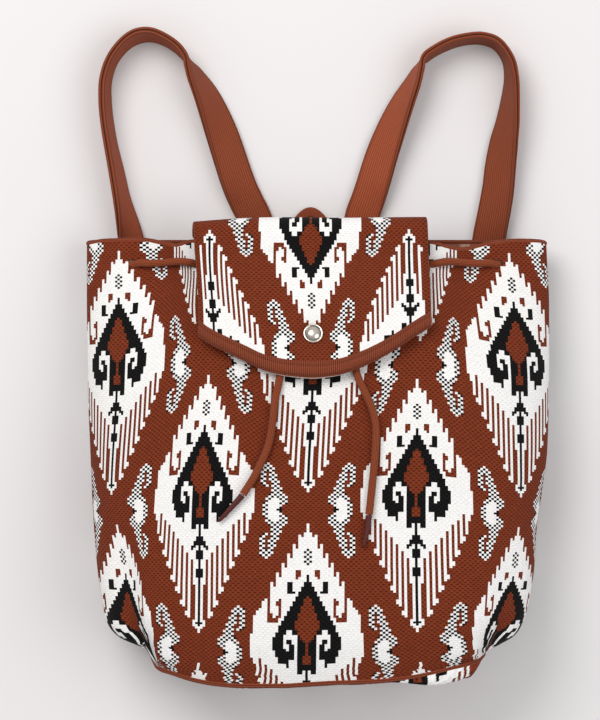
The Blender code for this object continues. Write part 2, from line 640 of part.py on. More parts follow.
def curve_tube(name, pts, radii, depth, material, res=3):
    """Bevelled curve with filled caps along a run of points."""
    cu = bpy.data.curves.new(name, 'CURVE')
    cu.dimensions = '3D'
    cu.bevel_depth = depth * 0.001
    cu.bevel_resolution = res
    cu.use_fill_caps = True
    sp = cu.splines.new('POLY')
    sp.points.add(len(pts) - 1)
    for k, q in enumerate(pts):
        sp.points[k].co = ((q[0] + SHIFT_X) * 0.001, (q[1] + SHIFT_Y) * 0.001, q[2] * 0.001, 1.0)
        sp.points[k].radius = radii[k] / depth
    cu.materials.append(material)
    ob = collection_add(name, cu)
    return ob


for name, run, tip_name, tip in (("drawstring_left_end", LEFT_END, "cord_tip_left", LEFT_TIP),
                                 ("drawstring_right_end", RIGHT_END, "cord_tip_right", RIGHT_TIP)):
    flat = spline([(x, y, 0) for x, y in run], 8)
    flat = even_steps(flat, 9.0)
    pts = [front_point(q[0], q[1], CORD_R + GAP + 0.1)[0] for q in flat]
    curve_tube(name, pts, [CORD_R] * len(pts), CORD_R, cord_mat, 2)
    flat = spline([(x, y, 0) for x, y in tip], 3)
    radii = np.interp(np.linspace(0, 1, len(flat)), [0, 0.5, 1], TIP_R)
    pts = [front_point(q[0], q[1], CORD_R + GAP + 0.1)[0] for q in flat]
    curve_tube(tip_name, pts, radii, TIP_R[0], tip_mat, 2)

# ---------------------------------------------------------------- snap fastener through flap and body
seat, axis = front_point(SNAP_X, SNAP_Y, 0.0)
under = flap_rise(SNAP_X, SNAP_Y) * axis[2]
deck = under + LINING_THICK + GAP + FLAP_THICK

v, f = turned_mesh([(0, -WALL - GAP - 1.1), (5.0, -WALL - GAP - 1.1), (5.0, -WALL - GAP), (1.2, -WALL - GAP),
                    (1.2, 0.0), (0, 0.0)], seat, axis)
mesh_object("snap_post", v, f, metal, 40)
v, f = turned_mesh([(0, GAP), (5.8, GAP), (6.0, GAP + 0.4), (5.6, GAP + 0.9), (2.4, GAP + 1.0), (2.5, GAP + 1.9),
                    (1.9, GAP + 2.3), (0, GAP + 2.3)], seat, axis)
mesh_object("snap_stud", v, f, metal, 40)
z1 = under - GAP
z0 = z1 - 2.0
v, f = turned_mesh([(0, z0 + 1.4), (3.5, z0 + 1.4), (3.5, z0), (5.6, z0), (6.0, z0 + 0.5), (6.0, z1 - 0.3), (5.7, z1),
                    (0, z1)], seat, axis)
socket = mesh_object("snap_socket", v, f, metal, 40)
z2 = deck + GAP + 0.4
v, f = turned_mesh([(0, z1 + GAP), (1.3, z1 + GAP), (1.3, z2), (SNAP_R - 0.5, z2), (SNAP_R, z2 + 0.5), (SNAP_R - 0.4, z2 + 1.3),
                    (SNAP_R - 1.2, z2 + 1.2), (SNAP_R - 1.7, z2 + 1.5), (SNAP_R - 3.2, z2 + 2.3), (2.0, z2 + 2.8), (0, z2 + 2.95)],
                   seat, axis)
cap = mesh_object("snap_cap", v, f, metal, 40)
hang_on_hinge(socket)
hang_on_hinge(cap)

v, f = turned_mesh([(0, -WALL - 6), (1.6, -WALL - 6), (1.6, 2.0), (0, 2.0)], seat, axis, 16)
cut(body, cutter("snap_body_cutter", v, f))
v, f = turned_mesh([(0, under - 2.0), (1.7, under - 2.0), (1.7, deck + 3.0), (0, deck + 3.0)], seat, axis, 16)
flap_cutter = cutter("snap_flap_cutter", v, f)
cut(flap, flap_cutter)
cut(lining, flap_cutter)
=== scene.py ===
import bpy
import math
import numpy as np
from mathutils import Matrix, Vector


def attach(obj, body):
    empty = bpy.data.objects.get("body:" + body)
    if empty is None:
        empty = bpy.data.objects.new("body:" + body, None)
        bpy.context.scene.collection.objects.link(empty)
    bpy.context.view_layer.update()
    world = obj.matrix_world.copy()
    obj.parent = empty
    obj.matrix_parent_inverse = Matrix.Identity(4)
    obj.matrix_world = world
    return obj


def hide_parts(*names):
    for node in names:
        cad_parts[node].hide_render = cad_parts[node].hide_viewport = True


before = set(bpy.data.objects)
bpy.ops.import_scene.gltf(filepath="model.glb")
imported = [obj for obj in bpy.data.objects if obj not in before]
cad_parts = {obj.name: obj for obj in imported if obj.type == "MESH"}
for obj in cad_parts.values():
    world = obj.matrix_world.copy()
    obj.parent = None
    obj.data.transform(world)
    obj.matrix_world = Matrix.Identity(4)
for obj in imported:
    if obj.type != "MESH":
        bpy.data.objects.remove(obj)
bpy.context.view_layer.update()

# ------------------------------------------------------------------ shape of the bag (mm)
SHIFT = np.array([0.59, 1.42, 0.0])
MOUTH_Y = 80.5
CROWN_X = -2.0
SIDE_Y0, SIDE_Y1 = 80.0, -208.0
SIDE_TABLE = [(80, 165.0, 162.7), (65, 165.0, 163.3), (38, 164.9, 164.5), (2, 164.1, 164.3),
              (-33, 163.3, 163.6), (-68, 161.7, 162.3), (-97, 160.4, 158.5), (-128, 158.5, 154.2),
              (-151, 156.3, 152.8), (-175, 151.5, 148.6), (-188, 147.6, 143.7), (-196, 142.0, 138.6),
              (-201, 135.0, 132.5), (-205, 126.5, 125.5), (-208, 118.5, 117.5)]
CROWN_TABLE = [(80, 50), (65, 56), (38, 70), (2, 84), (-32, 94), (-67, 100), (-105, 104),
               (-136, 106), (-171, 107), (-199, 106), (-218, 102), (-229, 98)]
SIDE_Z = [(0.0, 28), (0.14, 31), (0.26, 36), (0.38, 41), (0.5, 45), (0.7, 49), (1.0, 51)]
BACK_Z = [(0.0, 9.5), (0.06, 7.0), (0.14, 5.2), (0.22, 4.9), (1.0, 4.9)]
ROUND_FRONT = [(0.0, 2.0), (0.55, 2.05), (0.7, 2.3), (0.8, 2.8), (0.9, 3.8), (1.0, 5.0)]
ROUND_BACK = [(0.0, 3.2), (0.15, 4.2), (1.0, 5.0)]
RIM_TABLE = [(-165, 77.6), (-152, 80.9), (-126, 81.4), (-109, 78.5), (-101, 77.0), (-90, 79.8),
             (-48, 81.5), (0, 81.5), (44, 81.0), (79, 79.1), (93, 75.6), (102, 74.2), (122, 78.5),
             (144, 80.9), (158, 80.3), (165, 76.2)]
BASE_TABLE = [(-119, -209.0), (-113, -218.5), (-103, -221.4), (-86, -226.3), (-71, -228.8), (-55, -230.0),
              (-27, -230.0), (-11, -229.2), (8, -228.0), (41, -226.8), (58, -225.1), (75, -222.3),
              (94, -218.0), (105, -215.7), (111, -213.7), (119, -209.0)]
HINGE_Y, HINGE_Z = 84.0, 6.3
FLAP_RISE, SNAP_RISE = 6.3, 4.7
FLAP_FOLD = [(81.7, 6.3), (82.8, 12), (84.6, 18), (87.2, 26), (90.0, 34), (92.2, 42), (93.2, 48),
             (92.6, 53.5), (89.5, 57.6), (84.0, 60.0), (77.0, 61.6), (70.0, 62.6)]
FLAP_EDGE = [(-83, 11.5), (-76, 6.6), (-62, -0.4), (-51, -5.7), (-37, -12.1), (-21, -15.5), (-4, -16.7),
             (13, -15.0), (28, -10.3), (42, -3.9), (54, 3.1), (65, 10.4), (75, 16.5), (78, 18.0)]
SNAP_X, SNAP_Y = -3.7, 11.2
STRAP_WIDE, STRAP_THICK = 25.0, 4.6
LEFT_STRAP = [(-23.5, 56, -48.5, 56), (-27.5, 77, -52, 73.5), (-33.5, 99.5, -57.6, 94.5), (-40, 113, -63.6, 107),
              (-47.1, 129, -69, 120.2), (-59, 162, -78.9, 152.8), (-70.9, 188, -85.8, 178), (-82.5, 204.1, -91.6, 196.3),
              (-88.8, 208.8, -93.6, 205.4), (-95, 211.3, -95.4, 213.6), (-101.5, 214.2, -101.3, 221.4),
              (-108.5, 219.3, -110.6, 227.6), (-118.8, 222.4, -121, 231.4), (-128, 221.0, -131.8, 230.0),
              (-137, 215.8, -141.6, 222.6), (-144, 207, -150, 210.6), (-147.6, 194, -154.4, 196.3),
              (-147.4, 180, -155, 181), (-146, 165, -153.8, 166.3), (-143.5, 149, -151.4, 150.3), (-139.3, 130, -148.3, 131.8),
              (-134.5, 108, -145, 109.8), (-126.5, 82, -143, 84), (-121.5, 62, -144, 64), (-117.5, 40, -142.3, 42),
              (-114, 0, -139, 1), (-108, -80, -133, -79), (-102, -150, -127, -149), (-99, -190, -124, -189)]
RIGHT_STRAP = [(13, 56, 38, 56), (15.5, 77, 40, 74), (19.4, 100.4, 43.5, 95.4), (23.5, 112, 47, 106),
               (27.6, 123, 49.7, 115), (35.8, 146.9, 56.1, 139), (45.4, 167.8, 62.1, 160), (53.6, 184.4, 67.0, 176.8),
               (61.8, 198.1, 71.2, 190.9), (68.3, 205.6, 73.6, 202.0), (76.3, 209.6, 76.0, 212.6), (84.9, 211.8, 82.6, 218.2),
               (96.5, 217.2, 94.2, 224.2), (107.5, 220.4, 106.6, 227.2), (118.5, 220.6, 118.2, 227.8),
               (127.5, 216.8, 129.3, 223.6), (132.8, 208.6, 138.3, 211.4), (134, 196, 141.6, 198), (132.3, 181, 142.6, 183),
               (129, 164, 142.8, 167), (124.6, 149.5, 142.1, 153), (121, 133, 140.9, 136), (119, 118, 139.8, 120.5),
               (116, 103, 138, 105), (111, 80, 134.5, 82.5), (108.5, 60, 133.3, 62), (107, 40, 132, 41),
               (106, 0, 131, 1), (102, -80, 127, -79), (97, -150, 122, -149), (94, -190, 119, -189)]
CORD_R, CORD_Y = 2.65, 63.8
HOLES_LEFT = (-132.0, -84.6, -29.2)
HOLES_RIGHT = (126.6, 79.7, 22.3)
LEFT_END = [(-29.8, 53.6), (-29.6, 44), (-28.4, 30), (-27.2, 5), (-26.9, -16), (-30.2, -33), (-31.8, -47), (-34.2, -62),
            (-38.7, -74), (-44.9, -86.5), (-52.3, -98.3)]
RIGHT_END = [(22.9, 53.6), (23.1, 44), (24, 25), (25.3, 0), (26.6, -15), (33.3, -30), (37.4, -40), (39.6, -50.5),
             (39.5, -63), (38.2, -79.6), (36.5, -96.3), (34.8, -112)]
LEFT_TIP = [(-52.7, -98.9), (-61.0, -108.2), (-69.2, -117.1)]
RIGHT_TIP = [(34.7, -112.8), (33.0, -124.0), (30.6, -134.5)]
LOOP_X, LOOP_R, LOOP_TOP = -5.4, 11.4, 90.6


def curve_through(table, x):
    t = sorted(table)
    xs = np.array([p[0] for p in t], float)
    ys = np.array([p[1] for p in t], float)
    x = np.clip(np.asarray(x, float), xs[0], xs[-1])
    h = np.diff(xs)
    d = np.diff(ys) / h
    m = np.zeros_like(xs)
    for i in range(1, len(xs) - 1):
        if d[i - 1] * d[i] > 0:
            w1, w2 = 2 * h[i] + h[i - 1], h[i] + 2 * h[i - 1]
            m[i] = (w1 + w2) / (w1 / d[i - 1] + w2 / d[i])
    m[0], m[-1] = d[0], d[-1]
    k = np.clip(np.searchsorted(xs, x, side="right") - 1, 0, len(h) - 1)
    s = (x - xs[k]) / h[k]
    return ((2 * s ** 3 - 3 * s ** 2 + 1) * ys[k] + (s ** 3 - 2 * s ** 2 + s) * h[k] * m[k]
            + (-2 * s ** 3 + 3 * s ** 2) * ys[k + 1] + (s ** 3 - s ** 2) * h[k] * m[k + 1])


def smooth(t):
    t = np.clip(t, 0.0, 1.0)
    return t * t * (3 - 2 * t)


def bell(d, w):
    return np.exp(-(d / w) ** 2)


def spline(points, per=6):
    p = np.array(points, float)
    p = np.vstack([2 * p[0] - p[1], p, 2 * p[-1] - p[-2]])
    out = []
    for i in range(1, len(p) - 2):
        for k in range(per):
            t = k / per
            a, b, c, d = p[i - 1], p[i], p[i + 1], p[i + 2]
            out.append(0.5 * (2 * b + (c - a) * t + (2 * a - 5 * b + 4 * c - d) * t * t
                              + (3 * b - a - 3 * c + d) * t ** 3))
    out.append(p[-2])
    return np.array(out)


def even_steps(pts, step):
    seg = np.linalg.norm(np.diff(pts, axis=0), axis=1)
    s = np.concatenate([[0], np.cumsum(seg)])
    n = max(2, int(round(s[-1] / step)) + 1)
    t = np.linspace(0, s[-1], n)
    return np.stack([np.interp(t, s, pts[:, k]) for k in range(pts.shape[1])], axis=1)


def rim_y(x):
    return curve_through(RIM_TABLE, x)


def base_y(x):
    return curve_through(BASE_TABLE, x)


def section_values(v):
    y = SIDE_Y0 + (SIDE_Y1 - SIDE_Y0) * v
    left = curve_through([(p[0], p[1]) for p in SIDE_TABLE], y)
    right = curve_through([(p[0], p[2]) for p in SIDE_TABLE], y)
    top = curve_through(CROWN_TABLE, 80 + (-229 - 80) * v)
    return (left + CROWN_X, right - CROWN_X, top, curve_through(SIDE_Z, v), curve_through(BACK_Z, v),
            curve_through(ROUND_FRONT, v), curve_through(ROUND_BACK, v))


def front_z(x, y):
    x, y = np.asarray(x, float), np.asarray(y, float)
    v = np.clip((rim_y(x) - y) / (rim_y(x) - base_y(x)), 0, 1)
    a_l, a_r, top, mid, low, n, _ = section_values(v)
    a = np.where(x < CROWN_X, a_l, a_r)
    r = np.minimum(1.0, np.abs(x - CROWN_X) / a)
    return mid + (top - mid) * (1 - r ** n) ** (1 / n)


def ripple(x, y):
    """Small hollows and folds of the front panel: depth in mm along its normal, at the point (x, y)."""
    d = 0.55 * np.sin(x / 31.0 + 1.1) * np.sin(y / 37.0 + 0.4) + 0.35 * np.sin(x / 17.0 - y / 23.0 + 2.0)
    gather = bell(y - 64, 19.0) * (smooth((np.abs(x + 3) - 66) / 14) * (1 - smooth((np.abs(x + 3) - 146) / 12)))
    d = d + gather * 0.9 * np.sin((np.abs(x + 3) - 82) / 6.4)
    for hx in HOLES_LEFT + HOLES_RIGHT:
        d = d - 1.5 * bell(np.hypot(x - hx, y - CORD_Y), 5.5)
    for h in (HOLES_LEFT, HOLES_RIGHT):
        lo, hi = min(h[0], h[1]), max(h[0], h[1])
        d = d - 0.5 * bell(y - CORD_Y, 4.0) * smooth((x - lo + 5) / 8) * smooth((hi + 5 - x) / 8)
    d = d * (1 - smooth((-200 - y) / 20)) * smooth((82 - y) / 6)
    return d


def front_normal(x, y):
    e = 0.5
    n = np.stack([-(front_z(x + e, y) - front_z(x - e, y)) / (2 * e),
                  -(front_z(x, y + e) - front_z(x, y - e)) / (2 * e), np.ones_like(np.asarray(x, float))], -1)
    return n / np.linalg.norm(n, axis=-1, keepdims=True)


def front_point(x, y, off=0.0, rippled=True):
    x, y = np.asarray(x, float), np.asarray(y, float)
    n = front_normal(x, y)
    lift = off + (ripple(x, y) if rippled else 0.0)
    return np.stack([x, y, front_z(x, y)], -1) + np.asarray(lift)[..., None] * n


# ------------------------------------------------------------------ the knitted pattern, one value a stitch
RUST, WHITE, BLACK = 0, 1, 2


def medallion():
    """Pointed medallion: {(column from its centre, row from its top spike): yarn}."""
    cell = {}

    def put(k, r0, r1, yarn):
        for r in range(int(r0), int(r1) + 1):
            cell[(k, r)] = yarn
            cell[(-k, r)] = yarn
    tops = {0: 0, 1: 4, 2: 6, 15: 32, 16: 33, 17: 36, 18: 37, 19: 39, 20: 47}
    for k in range(3, 14):
        tops[k] = 2 * k - 1 if k % 2 else 2 * k + 3
    ends = {4: 103, 6: 98, 8: 92, 10: 87, 12: 81, 14: 76, 16: 70, 18: 66, 19: 60, 20: 57}
    gaps = {17: 58, 15: 61, 13: 63, 11: 66, 9: 69, 7: 72, 5: 75, 3: 78}
    put(0, 0, 61, WHITE)
    put(1, tops[1], 108, WHITE)
    put(2, tops[2], 88, WHITE)
    for k in range(3, 21):
        if k == 14:
            put(k, 42, ends[k], WHITE)
            continue
        put(k, tops[k], ends[k] if k in ends else gaps[k] - 1, WHITE)
    for k in (4, 6, 8, 10, 12, 14, 16):
        put(k + 1, ends[k] - 2, ends[k] - 1, WHITE)
    put(2, 105, 107, WHITE)
    put(0, 108, 110, WHITE)
    # small oval of dots under the spike
    for r in (11, 13, 15, 17):
        put(0, r, r, BLACK)
    for r in (12, 14, 16):
        put(1, r, r, BLACK)
    # small marks at the shoulders
    put(3, 20, 22, RUST)
    put(4, 20, 23, RUST)
    put(6, 25, 29, BLACK)
    put(7, 25, 29, BLACK)
    put(5, 29, 29, BLACK)
    # black arch with its horns
    put(0, 22, 64, BLACK)
    stop = {1: 62, 2: 64, 3: 64, 4: 46, 5: 46, 6: 44, 7: 44, 8: 46, 9: 59, 10: 59, 11: 56}
    for k in range(1, 11):
        put(k, 23 + 2 * k, stop[k], BLACK)
    put(11, 46, 56, BLACK)
    put(12, 48, 53, BLACK)
    put(5, 51, 57, BLACK)
    put(6, 49, 57, BLACK)
    put(7, 49, 50, BLACK)
    put(7, 54, 61, BLACK)
    put(8, 53, 59, BLACK)
    # teardrop and square inside the arch
    put(0, 31, 59, RUST)
    put(1, 32, 49, RUST)
    put(2, 35, 48, RUST)
    put(3, 38, 46, RUST)
    put(4, 41, 44, RUST)
    put(1, 56, 59, RUST)
    put(0, 60, 107, BLACK)
    # hooks beside the arch
    put(10, 32, 39, RUST)
    put(11, 33, 34, RUST)
    put(11, 39, 41, RUST)
    put(12, 40, 41, RUST)
    put(13, 38, 41, RUST)
    # stem with its arrow head and blocks
    put(1, 68, 71, BLACK)
    put(2, 70, 72, BLACK)
    put(3, 72, 73, BLACK)
    put(1, 74, 77, BLACK)
    put(1, 82, 85, BLACK)
    put(1, 106, 106, BLACK)
    return cell


def squiggle():
    """Chequered curl with a lozenge in its middle: {(column from the medallion's centre, row): yarn}."""
    arms = {21: ((-25, -25),), 20: ((-26, -23),), 19: ((-27, -23),), 18: ((-27, -23),), 17: ((-27, -26), (-24, -23)),
            16: ((-28, -26), (-24, -23)), 15: ((-28, -26), (-24, -23)), 14: ((-28, -26), (-24, -23)),
            13: ((-29, -27), (-24, -23)), 12: ((-29, -27), (-24, -23)), 11: ((-29, -27), (-25, -24)), 10: ((-30, -27),),
            9: ((-30, -27),), 8: ((-30, -27),), 7: ((-31, -26),), 6: ((-32, -26),), 5: ((-32, -25),), 4: ((-32, -25),),
            3: ((-32, -24),), 2: ((-30, -24),), 1: ((-30, -24),), 0: ((-30, -24),)}
    filled = {5: (-29, -27), 4: (-30, -26), 3: (-29, -25), 2: (-30, -26), 1: (-29, -25), 0: (-28, -26)}
    cell = {}
    for q, spans in arms.items():
        for r in {56 - q, 56 + q}:
            for a, b in spans:
                for c in range(a, b + 1):
                    cell[(c, r)] = WHITE if (c + r) % 2 == 0 else BLACK
            if q in filled:
                for c in range(filled[q][0], filled[q][1] + 1):
                    cell[(c, r)] = WHITE
            if q == 0:
                cell[(-30, r)] = cell[(-29, r)] = BLACK
    return cell


REPEAT_C, REPEAT_R = 80, 126


def repeat_tile():
    tile = np.zeros((REPEAT_R, REPEAT_C), int)
    med, sq = medallion(), squiggle()
    for c0, r0 in ((0, 0), (40, 63)):
        for (c, r), yarn in sq.items():
            for col in (c0 + c, c0 - c):
                tile[(r0 + r) % REPEAT_R, col % REPEAT_C] = yarn
    for c0, r0 in ((0, 0), (40, 63)):
        for (c, r), yarn in med.items():
            tile[(r0 + r) % REPEAT_R, (c0 + c) % REPEAT_C] = yarn
    return tile


TILE = repeat_tile()


def yarn_at(col, row):
    return TILE[np.asarray(row, int) % REPEAT_R, np.asarray(col, int) % REPEAT_C]


YARN_COLOURS = np.array([(0.176, 0.0318, 0.0112), (0.770, 0.76, 0.745), (0.0065, 0.0062, 0.0065)])
BACK_COLOURS = np.array([(0.52, 0.30, 0.22), (0.30, 0.12, 0.08), (0.45, 0.28, 0.22)])


# ------------------------------------------------------------------ materials
class Nodes:
    """Short way to build a node tree."""

    def __init__(self, name):
        self.mat = bpy.data.materials.new(name)
        self.mat.use_nodes = True
        self.tree = self.mat.node_tree
        self.bsdf = self.tree.nodes["Principled BSDF"]

    def add(self, kind, **values):
        n = self.tree.nodes.new(kind)
        for k, v in values.items():
            setattr(n, k, v)
        return n

    def link(self, a, b):
        self.tree.links.new(a, b)

    def math(self, op, a, b=None, c=None):
        n = self.add("ShaderNodeMath", operation=op)
        for i, v in enumerate((a, b, c)):
            if v is None:
                continue
            if isinstance(v, (int, float)):
                n.inputs[i].default_value = v
            else:
                self.link(v, n.inputs[i])
        return n.outputs[0]

    def mix(self, fac, a, b, blend='MIX'):
        n = self.add("ShaderNodeMix", data_type='RGBA', blend_type=blend)
        for sock, v in ((n.inputs[0], fac), (n.inputs[6], a), (n.inputs[7], b)):
            if isinstance(v, (int, float)):
                sock.default_value = v
            elif isinstance(v, tuple):
                sock.default_value = (*v, 1.0)
            else:
                self.link(v, sock)
        return n.outputs[2]

    def uv(self, name):
        n = self.add("ShaderNodeUVMap")
        n.uv_map = name
        s = self.add("ShaderNodeSeparateXYZ")
        self.link(n.outputs[0], s.inputs[0])
        return s.outputs[0], s.outputs[1]

    def noise(self, scale, detail=3.0, rough=0.55, coords="Object"):
        t = self.add("ShaderNodeTexCoord")
        n = self.add("ShaderNodeTexNoise")
        n.inputs["Scale"].default_value = scale
        n.inputs["Detail"].default_value = detail
        n.inputs["Roughness"].default_value = rough
        self.link(t.outputs[coords], n.inputs["Vector"])
        return n.outputs[0]

    def bump(self, height, distance, strength=1.0, under=None):
        n = self.add("ShaderNodeBump")
        n.inputs["Strength"].default_value = strength
        n.inputs["Distance"].default_value = distance
        self.link(height, n.inputs["Height"])
        if under is not None:
            self.link(under, n.inputs["Normal"])
        return n.outputs[0]

    def cloth(self, rough=0.9, sheen=0.25, specular=0.25):
        b = self.bsdf
        b.inputs["Roughness"].default_value = rough
        b.inputs["Specular IOR Level"].default_value = specular
        b.inputs["Sheen Weight"].default_value = sheen
        b.inputs["Sheen Roughness"].default_value = 0.5
        b.inputs["Metallic"].default_value = 0.0
        return b


def shade_range(nodes, value, low, high):
    """Value 0..1 spread over low..high."""
    return nodes.math('MULTIPLY_ADD', value, high - low, low)


def knit_material(name, depth=0.00030, painted_shade_amount=1.0):
    """Knitted stitches: yarn colour from the stitch, legs and row lines from the stitch map; the row lines are painted
    shadow dashes and the gaps between the legs get painted shade.
    """
    n = Nodes(name)
    u, v = n.uv("stitch")
    a = n.add("ShaderNodeAttribute")
    a.attribute_name = "yarn"
    colour = a.outputs["Color"]
    fu = n.math('FRACT', u)
    side = n.math('ABSOLUTE', n.math('SUBTRACT', fu, 0.5))                  # 0 middle .. 0.5 edge
    slant = n.math('MULTIPLY_ADD', side, 0.9, v)
    leg = n.math('SINE', n.math('MULTIPLY', n.math('FRACT', slant), math.pi))
    column = n.math('SINE', n.math('MULTIPLY', n.math('FRACT', n.math('MULTIPLY', fu, 2.0)), math.pi))
    height = n.math('MULTIPLY', n.math('POWER', leg, 0.6), n.math('MULTIPLY_ADD', n.math('POWER', column, 0.7), 0.6, 0.4))
    fluff = n.noise(1400.0, 2.0, 0.6)
    patch = n.noise(22.0, 3.0, 0.55)
    row_tone = n.noise(180.0, 1.0, 0.5)
    grey_of = n.add("ShaderNodeRGBToBW")
    n.link(colour, grey_of.inputs[0])
    calm = n.math('MULTIPLY_ADD', grey_of.outputs[0], -1.12, 1.0)            # pale yarn shows less of the painted row shadow
    down = n.math('MULTIPLY', v, -1.0)
    step = n.math('FRACT', n.math('MULTIPLY', n.math('ADD', u, n.math('FLOOR', down)), 0.5))
    across = n.math('MULTIPLY_ADD', n.math('COSINE', n.math('MULTIPLY', n.math('SUBTRACT', step, 0.25), 2 * math.pi)), 0.5, 0.5)
    band = n.math('SINE', n.math('MULTIPLY', n.math('FRACT', down), math.pi))
    # painted shadow: a dark dash on every other stitch of each row
    row_shadow_dash = n.math('MULTIPLY', n.math('POWER', across, 1.2), n.math('POWER', band, 1.2))
    painted_row_shadow = n.math('MULTIPLY', row_shadow_dash, n.math('MULTIPLY', calm, painted_shade_amount))
    # painted shade in the low gaps between the stitch legs
    painted_gap_shade = n.math('MULTIPLY', n.math('SUBTRACT', 1.0, height), 0.10)
    shade = n.math('MULTIPLY', n.math('SUBTRACT', n.math('SUBTRACT', 1.14, painted_row_shadow), painted_gap_shade), shade_range(n, fluff, 0.94, 1.06))
    shade = n.math('MULTIPLY', shade, shade_range(n, patch, 0.975, 1.025))
    shade = n.math('MULTIPLY', shade, shade_range(n, row_tone, 0.985, 1.015))
    grey = n.add("ShaderNodeCombineXYZ")
    for i in range(3):
        n.link(shade, grey.inputs[i])
    base = n.mix(1.0, colour, grey.outputs[0], 'MULTIPLY')
    n.link(base, n.bsdf.inputs["Base Color"])
    n.cloth(0.95, 0.03, 0.08)
    full = n.math('MULTIPLY_ADD', fluff, 0.25, height)
    n.link(n.bump(full, depth, 1.0), n.bsdf.inputs["Normal"])
    return n.mat


def rib_material(name, colour, per_u=1.0, per_v=1.0, depth=0.0003, painted_shade_amount=0.35, rough=0.88):
    """Ribbed or woven band: ridges along v crossed by fine rows, with painted shade in the furrows and the per-face
    painted light and shade multiplied into the colour.
    """
    n = Nodes(name)
    u, v = n.uv("stitch")
    ridge = n.math('SINE', n.math('MULTIPLY', n.math('FRACT', n.math('MULTIPLY', u, per_u)), math.pi))
    half = n.math('FLOOR', n.math('MULTIPLY', u, per_u))
    shifted = n.math('MULTIPLY_ADD', half, 0.5, n.math('MULTIPLY', v, per_v))
    row = n.math('SINE', n.math('MULTIPLY', n.math('FRACT', shifted), math.pi))
    height = n.math('MULTIPLY', n.math('POWER', ridge, 0.7), n.math('MULTIPLY_ADD', n.math('POWER', row, 0.6), 0.5, 0.5))
    fluff = n.noise(1500.0, 2.0, 0.6)
    patch = n.noise(30.0, 3.0, 0.55)
    # painted shade: colour darker in the furrows between the ridges
    shade = n.math('MULTIPLY', shade_range(n, height, 1.0 - painted_shade_amount, 1.10), shade_range(n, fluff, 0.84, 1.16))
    shade = n.math('MULTIPLY', shade, shade_range(n, patch, 0.90, 1.10))
    grey = n.add("ShaderNodeCombineXYZ")
    for i in range(3):
        n.link(shade, grey.inputs[i])
    # per-face painted light and shade from the mesh attribute
    tint = n.add("ShaderNodeAttribute")
    tint.attribute_name = "tint"
    tinted = n.mix(1.0, colour, tint.outputs["Color"], 'MULTIPLY')
    n.link(n.mix(1.0, tinted, grey.outputs[0], 'MULTIPLY'), n.bsdf.inputs["Base Color"])
    n.cloth(rough, 0.05, 0.12)
    full = n.math('MULTIPLY_ADD', fluff, 0.2, height)
    n.link(n.bump(full, depth, 1.0), n.bsdf.inputs["Normal"])
    return n.mat


def plain_material(name, colour, rough, metal=0.0, wear=0.0, specular=0.5, coat=0.0, tinted=False):
    n = Nodes(name)
    tone = n.noise(260.0, 3.0, 0.6)
    dark = tuple(c * (1 - wear) for c in colour)
    shown = n.mix(tone, dark, colour)
    if tinted:
        # per-face painted light and shade from the mesh attribute, multiplied into the colour
        tint = n.add("ShaderNodeAttribute")
        tint.attribute_name = "tint"
        shown = n.mix(1.0, shown, tint.outputs["Color"], 'MULTIPLY')
    n.link(shown, n.bsdf.inputs["Base Color"])
    r = shade_range(n, n.noise(900.0, 2.0, 0.5), max(0.02, rough - 0.05), min(1.0, rough + 0.05))
    n.link(r, n.bsdf.inputs["Roughness"])
    n.bsdf.inputs["Metallic"].default_value = metal
    n.bsdf.inputs["Specular IOR Level"].default_value = specular
    n.bsdf.inputs["Coat Weight"].default_value = coat
    return n.mat


RUST_RIB = (0.225, 0.050, 0.021)
KNIT = knit_material("jacquard_knit")
KNIT_IN = knit_material("jacquard_reverse", 0.0003, 0.6)
RIB = rib_material("ribbed_band", (0.235, 0.052, 0.022), 1.0, 1.0, 0.0006, 0.72)
WEB = rib_material("webbing", (0.255, 0.058, 0.024), 1.0, 1.0, 0.0004, 0.52)
CORD = rib_material("tubular_cord", (0.275, 0.060, 0.021), 1.0, 1.0, 0.0005, 0.62)
FACING = rib_material("pale_facing", (0.62, 0.50, 0.45), 1.0, 1.0, 0.0001, 0.12)
TIP = plain_material("dark_tip", (0.080, 0.014, 0.010), 0.42, 0.0, 0.25, 0.22, 0.0)
METAL = plain_material("snap_metal", (0.86, 0.80, 0.70), 0.16, 1.0, 0.05, tinted=True)
METAL_DULL = plain_material("snap_metal_inner", (0.70, 0.67, 0.62), 0.35, 1.0, 0.1)


# ------------------------------------------------------------------ mesh makers
def link_object(name, data):
    ob = bpy.data.objects.new(name, data)
    bpy.context.scene.collection.objects.link(ob)
    return ob


def paint_tint(me, per_face):
    """Painted light and shade of each face, as a brightness multiplier on the colour, 1 where none is given."""
    layer = me.color_attributes.new("tint", 'FLOAT_COLOR', 'CORNER')
    total = np.zeros(len(me.polygons), np.int32)
    me.polygons.foreach_get("loop_total", total)
    value = np.ones(len(total)) if per_face is None else np.asarray(per_face, float)
    rgba = np.ones((len(me.loops), 4), np.float32)
    rgba[:, :3] = np.repeat(value, total)[:, None]
    layer.data.foreach_set("color", rgba.reshape(-1))


